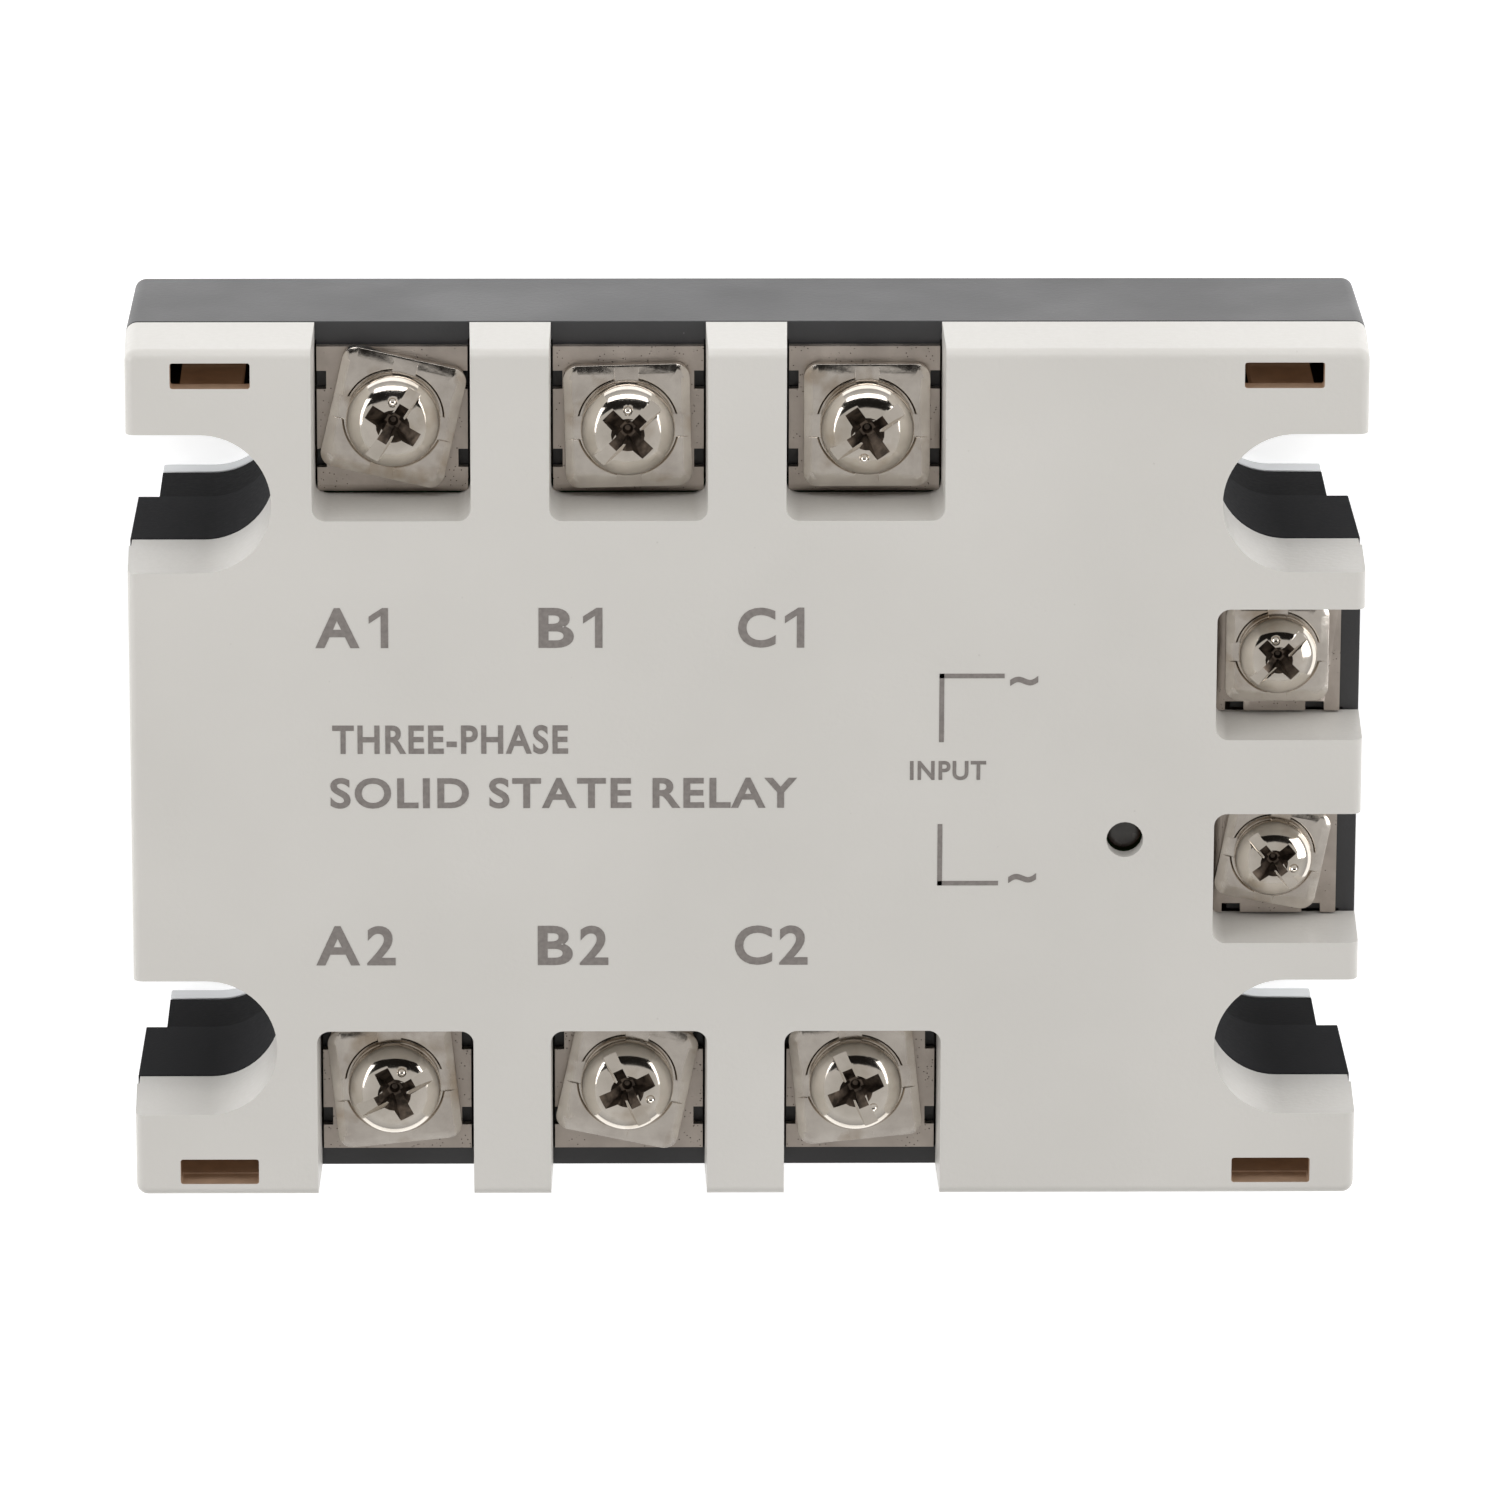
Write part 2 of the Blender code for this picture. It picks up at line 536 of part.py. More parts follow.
def top_cover(finish):
    half_x = LENGTH / 2
    half_y = WIDTH / 2
    low = (-half_x, -half_y, COVER_RIM)
    high = (half_x, half_y, COVER_FACE)
    shell = block("top_cover", low, high, CORNER, COVER_FILLET, (-DRAFT, -DRAFT))
    cover = part("top_cover", shell, finish)
    for side_x, side_y, label in corners():
        outline = liner_outline(side_x, side_y, half_x - DRAFT)
        liner = cutter("liner_" + label, prism("liner", outline, LINER_RIM, COVER_RIM + EMBED))
        boolean(cover, liner, "UNION")
    boolean(cover, cover_cavity(), "DIFFERENCE")
    for side_x, side_y, label in corners():
        outline = slot_outline(side_x, side_y, SLOT_WIDTH, SLOT_REACH, half_x + OVERCUT)
        slot = cutter("cover_slot_" + label, prism("cover_slot", outline, -OVERCUT, HEIGHT + OVERCUT))
        boolean(cover, slot, "DIFFERENCE")
        place = (side_x * WINDOW_X, side_y * WINDOW_Y)
        size = (*WINDOW_SIZE, COVER_TOP + 2 * EMBED)
        window = centred_block("window", place, size, COVER_FACE - COVER_TOP - EMBED)
        boolean(cover, cutter("window_" + label, window), "DIFFERENCE")
        boolean(cover, cutter("snap_hook_" + label, snap_hook(side_x, side_y)), "UNION")
    for name, outward, centre, family in terminals():
        notch = notch_block("notch_" + name, outward, centre, family, LINER_RIM - OVERCUT, 0.0, NOTCH_DRAFT)
        boolean(cover, cutter("notch_" + name, notch), "DIFFERENCE")
    floor = COVER_FACE - COVER_TOP - EMBED
    hole = rod("led_hole", LED_PLACE, LED_HOLE, floor, COVER_FACE + EMBED, HOLE_SEGMENTS)
    boolean(cover, cutter("led_hole", hole), "DIFFERENCE")
    low, high = COVER_FACE - LED_CHAMFER, COVER_FACE + LED_CHAMFER
    wide = LED_HOLE + 4 * LED_CHAMFER
    chamfer = rod("led_chamfer", LED_PLACE, LED_HOLE, low, high, HOLE_SEGMENTS, wide)
    boolean(cover, cutter("led_chamfer", chamfer), "DIFFERENCE")


# ---------------------------------------------------------------- terminals

def strap(name, outward, centre, family, finish):
    """A bent conductor: a flat pad under the washer and a leg down to the circuit."""
    width, depth, wall, screw_inset = terminal_sizes(family)
    half = width / 2 - GAP
    inner = -depth + GAP
    pad = block(name, (-half, inner, STRAP_FLOOR), (half, -wall - GAP, STRAP_TOP))
    made = part(name, pad, finish)
    foot = SUBSTRATE_TOP + GAP if family is POWER_SCREW else PARTS_FLOOR
    leg_half = STRAP_LEG_WIDTH / 2
    half_thick = STRAP_THICK / 2
    leg = block("leg", (-leg_half, inner, foot), (leg_half, inner + STRAP_THICK, STRAP_FLOOR + half_thick))
    boolean(made, cutter(name + "_leg", leg), "UNION")
    if family is INPUT_SCREW:
        low = (-leg_half, inner - STRAP_FOOT, foot)
        sole = block("sole", low, (leg_half, inner + half_thick, foot + STRAP_THICK))
        boolean(made, cutter(name + "_sole", sole), "UNION")
    diameter = family["thread"] + 2 * (SCREW_FLOAT + GAP)
    hole = rod("hole", (0, -screw_inset), diameter, STRAP_FLOOR - GAP, STRAP_TOP + GAP, HOLE_SEGMENTS)
    boolean(made, cutter(name + "_hole", hole), "DIFFERENCE")
    for side in (-1, 1):
        for end in (-1, 1):
            place = (side * half, -screw_inset + end * STRAP_NICK_SPACING / 2)
            size = (2 * STRAP_NICK_DEPTH, STRAP_NICK_LENGTH, STRAP_THICK + 2 * GAP)
            nick = cutter(f"{name}_nick_{side}_{end}", centred_block("nick", place, size, STRAP_FLOOR - GAP))
            boolean(made, nick, "DIFFERENCE")
    frame = terminal_frame(outward, centre)
    made.matrix_world = frame
    for tool in [step.object for step in made.modifiers]:
        tool.matrix_world = frame


def pierced_square(name, side, thick, corner, bore):
    plate = bpy.data.objects.new(name, centred_block(name, (0, 0), (side, side, thick), 0.0, corner))
    PARTS.objects.link(plate)
    hole = cutter(name + "_hole", rod(name + "_hole", (0, 0), bore, -GAP, thick + GAP))
    boolean(plate, hole, "DIFFERENCE")
    mesh = baked(plate)
    bpy.data.objects.remove(hole, do_unlink=True)
    return mesh


def washer_mesh(family):
    """A square washer with its hole."""
    return pierced_square("washer", family["washer"], WASHER_THICK, WASHER_CORNER, family["thread"] + GAP)


def screw_mesh(family):
    """A pan head screw, turned from its profile, with a straight slot and a cross recess."""
    head = family["head"] / 2
    height = family["head_height"]
    shank = family["thread"] / 2 - GAP / 4
    tip = -family["length"]
    profile = [(head * across, height * up) for across, up in HEAD_PROFILE]
    profile += [(shank, 0.0), (shank, tip + shank / 2), (shank / 2, tip), (0.0, tip)]
    bm = bmesh.new()
    verts = [bm.verts.new((x, 0.0, z)) for x, z in profile]
    for start, end in zip(verts, verts[1:]):
        bm.edges.new((start, end))
    mesh = bpy.data.meshes.new("screw")
    bm.to_mesh(mesh)
    bm.free()
    blank = bpy.data.objects.new("screw", mesh)
    PARTS.objects.link(blank)
    turned = blank.modifiers.new("turned", "SCREW")
    turned.steps = ROUND_SEGMENTS
    turned.render_steps = ROUND_SEGMENTS
    turned.use_merge_vertices = True
    turned.merge_threshold = 0.00001
    slot = family["slot"]
    span = head * CROSS_SPAN
    cross_floor = height * (1 - CROSS_DEPTH)
    shapes = {"groove": ((3 * head, slot, height), height * (1 - GROOVE_DEPTH)),
              "arm": ((slot, span, height), cross_floor), "cross_arm": ((span, slot, height), cross_floor)}
    tools = []
    for label, shape in shapes.items():
        tools.append(cutter("screw_" + label, centred_block(label, (0, 0), *shape)))
    for tool in tools:
        boolean(blank, tool, "DIFFERENCE")
    made = baked(blank)
    for tool in tools:
        bpy.data.objects.remove(tool, do_unlink=True)
    made.shade_smooth()
    made.set_sharp_from_angle(angle=math.radians(35))
    return made


def nut_mesh(family):
    return pierced_square("nut", family["nut"], family["nut_height"], NUT_CORNER, family["thread"] + GAP)


def terminal_sets(plated, nickel, zinc):
    """Strap, nut, square washer and screw for every terminal."""
    meshes = {}
    for label, family in (("power", POWER_SCREW), ("input", INPUT_SCREW)):
        meshes[label] = (washer_mesh(family), screw_mesh(family), nut_mesh(family))
    for name, outward, centre, family in terminals():
        washer, screw, nut = meshes["power" if family is POWER_SCREW else "input"]
        _, screw_turn, washer_turn = SETTINGS[name]
        x, y = screw_place(name, centre)
        strap("terminal_strap_" + name, outward, centre, family, plated)
        nut_floor = BODY_TOP - GAP / 3 - family["nut_height"]
        part("square_nut_" + name, nut, zinc, (x, y, nut_floor))
        part("square_washer_" + name, washer, nickel, (x, y, WASHER_FLOOR), math.radians(washer_turn))
        part("terminal_screw_" + name, screw, nickel, (x, y, HEAD_FLOOR), math.radians(screw_turn))


# ---------------------------------------------------------------- circuit

def power_stage(ceramic, silicon):
    """Per phase: a metallised ceramic tile with two thyristor chips back to back."""
    for index, phase in enumerate("ABC"):
        x = PHASE_SHIFT + (index - 1) * PHASE_PITCH
        tile = centred_block("substrate", (x, 0), SUBSTRATE_SIZE, SUBSTRATE_FLOOR)
        part("ceramic_substrate_" + phase, tile, ceramic)
        for number, side in ((1, 1), (2, -1)):
            place = (x, side * CHIP_PITCH / 2)
            chip = centred_block("chip", place, CHIP_SIZE, SUBSTRATE_TOP + GAP)
            part(f"thyristor_chip_{phase}{number}", chip, silicon)


def potting_resin(finish):
    """The cast resin that seals the power stage, with room around the tiles, legs and slot walls."""
    half_x = LENGTH / 2 - PLATE_INSET_X - BODY_END_WALL - GAP
    half_y = WIDTH / 2 - PLATE_INSET_Y - BODY_WALL - GAP
    cast = block("resin", (-half_x, -half_y, SUBSTRATE_FLOOR), (half_x, half_y, RESIN_TOP))
    resin = part("potting_resin", cast, finish)
    for side_x, side_y, label in corners():
        corner = cutter("resin_corner_" + label, corner_block("resin_corner", side_x, side_y, GAP))
        boolean(resin, corner, "DIFFERENCE")
    for index, phase in enumerate("ABC"):
        x = PHASE_SHIFT + (index - 1) * PHASE_PITCH
        size = (SUBSTRATE_SIZE[0] + 2 * GAP, SUBSTRATE_SIZE[1] + 2 * GAP, CHIP_TOP + GAP)
        room = cutter("tile_room_" + phase, centred_block("tile_room", (x, 0), size, 0.0))
        boolean(resin, room, "DIFFERENCE")
    for name, outward, centre, family in terminals():
        if family is POWER_SCREW:
            _, depth, _, _ = terminal_sizes(family)
            half = STRAP_LEG_WIDTH / 2 + GAP
            high = (half, -depth + STRAP_THICK + 2 * GAP, RESIN_TOP + OVERCUT)
            room = block("leg_room", (-half, -depth, 0), high)
            room.transform(terminal_frame(outward, centre))
            boolean(resin, cutter("leg_room_" + name, room), "DIFFERENCE")


def resistor(name, place, finish):
    """A leaded resistor lying along X on two short feet."""
    floor = PARTS_FLOOR
    radius = RESISTOR_DIAMETER / 2
    lying = Matrix.Translation((*place, floor + radius)) @ Matrix.Rotation(math.pi / 2, 4, "Y")
    bm = bmesh.new()
    bmesh.ops.create_cone(bm, cap_ends=True, segments=HOLE_SEGMENTS, radius1=radius, radius2=radius,
                          depth=RESISTOR_LENGTH, matrix=lying)
    made = part(name, mesh_from(bm, name), finish)
    for side in (-1, 1):
        x = place[0] + side * (RESISTOR_LENGTH / 2 + RESISTOR_NECK)
        size = (4 * RESISTOR_NECK, RESISTOR_NECK, radius + RESISTOR_NECK / 2)
        lead = centred_block("lead", (x, place[1]), size, floor + RESISTOR_LEAD_LIFT)
        boolean(made, cutter(f"{name}_lead_{side}", lead), "UNION")


def indicator_led(finish):
    """The lamp under its hole: a domed lens on a flange, standing on two long leads."""
    top = COVER_FACE - COVER_TOP - GAP
    radius = LED_DIAMETER / 2
    flange = top - LED_BODY
    barrel = rod("indicator_led", LED_PLACE, LED_DIAMETER, flange, top - radius)
    lens = part("indicator_led", barrel, finish)
    dome = bmesh.new()
    middle = Matrix.Translation((*LED_PLACE, top - radius))
    bmesh.ops.create_uvsphere(dome, u_segments=ROUND_SEGMENTS, v_segments=10, radius=radius, matrix=middle)
    boolean(lens, cutter("led_dome", mesh_from(dome, "led_dome")), "UNION")
    foot = rod("led_flange", LED_PLACE, LED_FLANGE, flange - EMBED, flange + GAP)
    boolean(lens, cutter("led_flange", foot), "UNION")
    for side in (-1, 1):
        place = (LED_PLACE[0] + side * LED_LEAD_PITCH / 2, LED_PLACE[1])
        size = (LED_LEAD, LED_LEAD, flange - PARTS_FLOOR - GAP)
        lead = centred_block("led_lead", place, size, PARTS_FLOOR)
        boolean(lens, cutter(f"led_lead_{side}", lead), "UNION")


def control_circuit():
    laminate = material("green_laminate", (0.02, 0.16, 0.07), 0.45)
    moulded = material("component_plastic", (0.03, 0.03, 0.035), 0.4)
    film = material("capacitor_case", (0.42, 0.05, 0.03), 0.35)
    lacquer = material("resistor_lacquer", (0.35, 0.42, 0.5), 0.5)
    lens = material("led_lens", (0.08, 0.02, 0.02), 0.2)
    board_size = (BOARD_LENGTH, BOARD_WIDTH, BOARD_THICK)
    part("control_board", centred_block("control_board", (0, 0), board_size, BOARD_FLOOR), laminate)
    for index, phase in enumerate("ABC"):
        x = PHASE_SHIFT + (index - 1) * PHASE_PITCH
        part("optocoupler_" + phase, centred_block("optocoupler", (x, 0), OPTO_SIZE, PARTS_FLOOR), moulded)
        cap = centred_block("snubber_capacitor", (x, SNUBBER_ROW), SNUBBER_CAP_SIZE, PARTS_FLOOR)
        part("snubber_capacitor_" + phase, cap, film)
        resistor("snubber_resistor_" + phase, (x, -SNUBBER_ROW), lacquer)
    dropper = centred_block("dropper", DROPPER_PLACE, DROPPER_SIZE, PARTS_FLOOR)
    part("input_dropper_capacitor", dropper, film)
    part("input_bridge_rectifier", centred_block("bridge", BRIDGE_PLACE, BRIDGE_SIZE, PARTS_FLOOR), moulded)
    resistor("input_resistor", INPUT_RESISTOR_PLACE, lacquer)
    indicator_led(lens)


clear_scene()
PARTS = new_collection(NAME)
CUTTERS = new_collection(NAME + "_cutters")
base_plate(material("aluminium", (0.80, 0.81, 0.82), 0.35, 1.0))
body_housing(material("black_housing", (0.025, 0.025, 0.027), 0.5))
top_cover(material("grey_cover", (0.62, 0.60, 0.57), 0.55))
terminal_sets(material("plated_brass", (0.66, 0.62, 0.57), 0.3, 1.0),
              material("nickel_steel", (0.66, 0.62, 0.57), 0.3, 1.0),
              material("zinc_steel", (0.62, 0.62, 0.6), 0.35, 1.0))
power_stage(material("white_ceramic", (0.85, 0.85, 0.83), 0.6),
            material("silicon", (0.2, 0.2, 0.22), 0.2, 0.5))
potting_resin(material("potting_resin", (0.05, 0.045, 0.04), 0.3))
control_circuit()
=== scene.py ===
import math
from collections import namedtuple

import bmesh
import bpy
from mathutils import Matrix, Vector


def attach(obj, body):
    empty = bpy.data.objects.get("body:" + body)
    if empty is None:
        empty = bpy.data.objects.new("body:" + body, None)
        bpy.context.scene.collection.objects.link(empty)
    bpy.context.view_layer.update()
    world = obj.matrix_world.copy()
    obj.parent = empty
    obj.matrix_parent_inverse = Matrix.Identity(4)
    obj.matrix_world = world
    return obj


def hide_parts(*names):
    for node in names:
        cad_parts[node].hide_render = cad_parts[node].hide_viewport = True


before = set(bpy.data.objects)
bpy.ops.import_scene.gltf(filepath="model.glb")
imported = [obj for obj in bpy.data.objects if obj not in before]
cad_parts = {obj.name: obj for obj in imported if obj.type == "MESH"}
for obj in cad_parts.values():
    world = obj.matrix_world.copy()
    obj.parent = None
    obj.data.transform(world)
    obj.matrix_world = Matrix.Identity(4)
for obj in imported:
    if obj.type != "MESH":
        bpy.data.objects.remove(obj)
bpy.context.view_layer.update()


# ---- Base plate
# A 2.3 mm aluminium plate, milled flat underneath so that it beds on a heat sink. It closes the body's foot,
# and shows as a pale edge at the bottom of each mounting slot. The four slots are cut right through it.

MM = 0.001
LENGTH, WIDTH = 104.0, 75.0
PLATE_INSET = (2.0, 3.2)
PLATE_THICK, PLATE_CORNER, PLATE_EDGE = 2.3, 1.0, 0.15
SLOT_WIDTH, SLOT_REACH, SLOT_PITCH = 12.0, 12.3, 48.0
SLOT_ARC_STEPS, SLOT_ARC = 16, 0.999   # the arc, as a share of the slot's half-width, so that two don't meet
PAST = 4.0    # how far a cutter runs past the piece
NEAR = 0.01   # two places that are closer than this are the same


def round_over(bm, edges, radius, steps):
    bmesh.ops.bevel(bm, geom=edges, offset=radius, segments=steps, profile=0.5, affect="EDGES", material=-1)


def slab(low, high, corner=0.0, corner_steps=8, lean=0.0, fillet=0.0, fillet_steps=5):
    """A block in mm between two corners, with rounded upright edges, leaning sides and a rounded top rim."""
    low, high = Vector(low), Vector(high)
    size, centre = high - low, (low + high) / 2
    bm = bmesh.new()
    bmesh.ops.create_cube(bm, size=1.0, matrix=Matrix.Translation(centre) @ Matrix.Diagonal((*size, 1.0)))
    if corner:
        upright = [e for e in bm.edges if abs(e.verts[0].co.z - e.verts[1].co.z) > size.z / 2]
        round_over(bm, upright, corner, corner_steps)
    for v in bm.verts:
        if v.co.z > centre.z:
            v.co.x += math.copysign(1.0, v.co.x - centre.x) * lean
            v.co.y += math.copysign(1.0, v.co.y - centre.y) * lean
    if fillet:
        rim = [e for e in bm.edges if min(v.co.z for v in e.verts) > centre.z]
        round_over(bm, rim, fillet, fillet_steps)
    return bm


def shape(bm, name, turn=None):
    """Mesh in mm made an object in metres, at the origin, with room for two finishes."""
    if turn:
        bmesh.ops.transform(bm, matrix=turn, verts=bm.verts)
    bmesh.ops.recalc_face_normals(bm, faces=bm.faces)
    bmesh.ops.scale(bm, vec=(MM, MM, MM), verts=bm.verts)
    mesh = bpy.data.meshes.new(name)
    bm.to_mesh(mesh)
    bm.free()
    mesh.materials.append(None)
    mesh.materials.append(None)
    made = bpy.data.objects.new(name, mesh)
    bpy.context.scene.collection.objects.link(made)
    return made


def settle(piece):
    """Turns a piece's modifiers into its mesh."""
    bpy.context.view_layer.update()
    done = piece.evaluated_get(bpy.context.evaluated_depsgraph_get())
    mesh = bpy.data.meshes.new_from_object(done)
    mesh.name = piece.name
    piece.modifiers.clear()
    piece.data = mesh


def join(piece, others, how):
    """Cuts the others out of a piece, or adds them to it."""
    for other in others:
        step = piece.modifiers.new("step", "BOOLEAN")
        step.operation, step.solver, step.object = how, "EXACT", other
    settle(piece)
    for other in others:
        bpy.data.objects.remove(other, do_unlink=True)
    return piece


def soften(piece, radius, steps=3, angle=32.0):
    """Rounds every sharp edge, and keeps the flats flat in the shading."""
    edge = piece.modifiers.new("edge", "BEVEL")
    edge.width, edge.segments, edge.limit_method = radius * MM, steps, "ANGLE"
    edge.angle_limit, edge.harden_normals = math.radians(angle), False
    edge.use_clamp_overlap = True
    for face in piece.data.polygons:
        face.use_smooth = True
    flat = piece.modifiers.new("flat", "WEIGHTED_NORMAL")
    flat.keep_sharp, flat.weight = True, 80
    settle(piece)


def corners():
    return [(x, y) for x in (-1, 1) for y in (-1, 1)]


def slot_bar(x, y, grow, low, high, end=PAST):
    """The bar that a mounting slot is cut with: flat sides and a half-round inner end, open at the other."""
    half = SLOT_WIDTH / 2 + grow
    inner = LENGTH / 2 - SLOT_REACH - grow
    outer = LENGTH / 2 + end
    bm = bmesh.new()
    middle = Matrix.Translation(((inner + outer) / 2, 0, (low + high) / 2))
    size = Matrix.Diagonal((outer - inner, 2 * half, high - low, 1.0))
    bmesh.ops.create_cube(bm, size=1.0, matrix=middle @ size)
    ends = [e for e in bm.edges if max(v.co.x for v in e.verts) < inner + NEAR and
            abs(e.verts[0].co.z - e.verts[1].co.z) > NEAR]
    round_over(bm, ends, half * SLOT_ARC, SLOT_ARC_STEPS)
    side = Matrix.Diagonal((x, 1.0, 1.0, 1.0))
    return shape(bm, "slot", Matrix.Translation((0, y * SLOT_PITCH / 2, 0)) @ side)


class Shade:
    """A node's output, so that maths on it reads as an expression."""

    def __init__(self, nodes, socket):
        self.nodes, self.socket = nodes, socket

    def _maths(self, operation, other):
        return self.nodes.node("ShaderNodeMath", {"operation": operation}, {0: self, 1: other})

    def __add__(self, other):
        return self._maths("ADD", other)

    def __sub__(self, other):
        return self._maths("SUBTRACT", other)

    def __mul__(self, other):
        return self._maths("MULTIPLY", other)

    def over(self, level):
        """1 where this is above a level, 0 below."""
        return self._maths("GREATER_THAN", level)


class Nodes:
    """A node tree, and the few kinds of node that the finishes and the room are made with."""

    def __init__(self, tree, coordinates):
        self.tree = tree
        self.place = self.node("ShaderNodeTexCoord", {}, {}, coordinates)

    def node(self, kind, settings, sockets, output=0):
        made = self.tree.nodes.new(kind)
        for key, value in settings.items():
            if key == "stops":
                self.set_stops(made.color_ramp, value)
            else:
                setattr(made, key, value)
        for key, value in sockets.items():
            if isinstance(value, Shade):
                self.tree.links.new(value.socket, made.inputs[key])
            else:
                made.inputs[key].default_value = value
        return Shade(self, made.outputs[output])

    def set_stops(self, ramp, stops):
        while len(ramp.elements) < len(stops):
            ramp.elements.new(0.5)
        for element, (position, colour) in zip(ramp.elements, stops):
            element.position = position
            element.color = (*colour, 1.0)

    def noise(self, scale, detail=3.0, stretch=(1.0, 1.0, 1.0)):
        spot = self.node("ShaderNodeMapping", {}, {"Vector": self.place, "Scale": stretch})
        return self.node("ShaderNodeTexNoise", {}, {"Vector": spot, "Scale": scale, "Detail": detail})

    def cells(self, scale):
        return self.node("ShaderNodeTexVoronoi", {}, {"Vector": self.place, "Scale": scale}, "Distance")

    def ramp(self, factor, *stops):
        return self.node("ShaderNodeValToRGB", {"stops": stops}, {"Fac": factor})

    def range(self, value, low, high, to_low, to_high):
        return self.node("ShaderNodeMapRange", {}, {"Value": value, "From Min": low, "From Max": high,
                                                    "To Min": to_low, "To Max": to_high})

    def mix(self, factor, first, second):
        return self.node("ShaderNodeMix", {"data_type": "RGBA"}, {0: factor, 6: first, 7: second}, 2)


class Finish(Nodes):
    """A material built from nodes."""

    def __init__(self, name, **fixed):
        self.material = bpy.data.materials.new(name)
        self.material.use_nodes = True
        super().__init__(self.material.node_tree, "Object")
        self.shader = self.tree.nodes["Principled BSDF"]
        for socket, value in fixed.items():
            self.shader.inputs[socket.replace("_", " ")].default_value = value

    def set(self, **links):
        for socket, value in links.items():
            self.tree.links.new(value.socket, self.shader.inputs[socket.replace("_", " ")])
        return self

    def bump(self, height, distance):
        return self.set(Normal=self.node("ShaderNodeBump", {}, {"Height": height, "Distance": distance * MM}))


def wear(piece, finish, second=None):
    """Gives a piece its finish, and its second finish where there is one."""
    piece.data.materials[0] = finish.material
    if second:
        piece.data.materials[1] = second.material
    else:
        piece.data.materials.pop(index=1)


def milled_aluminium():
    metal = Finish("milled_aluminium", Metallic=1.0, IOR=1.5)
    lay = metal.noise(900.0, 4.0, (0.06, 1.0, 1.0))
    cloud = metal.noise(60.0, 3.0)
    tone = metal.ramp(cloud, (0.3, (0.60, 0.61, 0.62)), (0.7, (0.70, 0.71, 0.72)))
    metal.set(Base_Color=tone, Roughness=metal.range(lay, 0.3, 0.7, 0.34, 0.5))
    return metal.bump(lay, 0.02)


plate_x, plate_y = LENGTH / 2 - PLATE_INSET[0], WIDTH / 2 - PLATE_INSET[1]
plate = shape(slab((-plate_x, -plate_y, 0), (plate_x, plate_y, PLATE_THICK), PLATE_CORNER),
              "heat_spreading_plate")
join(plate, [slot_bar(x, y, 0.0, -PAST, PAST * 2) for x, y in corners()], "DIFFERENCE")
soften(plate, PLATE_EDGE)
wear(plate, milled_aluminium())
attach(plate, "root")
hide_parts("base_plate")


# ---- Power stage
# Three white ceramic tiles, one for each phase, bonded to the plate. Each carries two bare silicon chips,
# soldered back to back in parallel, one for each half of the wave.

PHASES = "ABC"


def repaint(names, finish):
    """Gives CAD nodes that stay as they are a finish of their own."""
    for name in names:
        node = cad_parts[name]
        if not node.material_slots:
            node.data.materials.append(finish.material)
        for holder in node.material_slots:
            holder.material = finish.material


def fired_ceramic():
    tile = Finish("fired_ceramic", IOR=1.7)
    grain = tile.noise(2500.0, 3.0)
    tile.set(Base_Color=tile.ramp(grain, (0.3, (0.78, 0.78, 0.75)), (0.7, (0.88, 0.88, 0.86))),
             Roughness=tile.range(grain, 0.3, 0.7, 0.5, 0.7))
    return tile.bump(grain, 0.01)


def bare_silicon():
    chip = Finish("bare_silicon", Metallic=0.6)
    cell = chip.cells(1200.0)
    chip.set(Base_Color=chip.ramp(cell, (0.1, (0.12, 0.13, 0.16)), (0.9, (0.24, 0.25, 0.28))),
             Roughness=chip.range(cell, 0.0, 1.0, 0.12, 0.3))
    return chip


repaint(["ceramic_substrate_" + p for p in PHASES], fired_ceramic())
repaint([f"thyristor_chip_{p}{n}" for p in PHASES for n in (1, 2)], bare_silicon())


# ---- Connection straps
# Eight stamped brass straps, nickel plated. Each has a pad with a clearance hole and two nicks in each side,
# and a leg bent down to the circuit. The input straps end in a small foot on the board.

HEIGHT, COVER_DEPTH, GAP = 33.0, 8.2, 0.3
COVER_RIM = HEIGHT - COVER_DEPTH
BODY_TOP = COVER_RIM - GAP
STRAP_FLOOR, STRAP_THICK = BODY_TOP + GAP, 0.8
STRAP_BEND, STRAP_PLAY, STRAP_EDGE = 0.8, 0.08, 0.1
SUBSTRATE_TOP, PARTS_FLOOR = 3.23, 15.2
LEG_WIDTH, LEG_LAP, SOLE_LENGTH, SOLE_LAP = 7.0, 0.09, 5.0, 0.4
NICK_PLACE, NICK_HALF = 3.4, 0.8
FLOAT = 0.6   # how far a screw may stand from its nominal place
OVER = 1.0    # how far a short cutter runs past a wall, or an added lump into it

# The pocket's width, depth, wall and the screw's inset, then the screw, the washer and the nut, all in mm.
POWER = {"width": 12.8, "depth": 14.75, "wall": 1.6, "inset": 8.2,
         "thread": 4.0, "pitch": 0.7, "length": 10.0, "head": 7.9, "height": 2.4, "slot": 1.2,
         "washer": 10.6, "nut": 7.0, "nut_height": 3.2}
INPUT = {"width": 11.0, "depth": 12.35, "wall": 1.4, "inset": 7.2,
         "thread": 3.5, "pitch": 0.6, "length": 8.0, "head": 6.6, "height": 2.2, "slot": 1.0,
         "washer": 8.7, "nut": 6.0, "nut_height": 2.8}

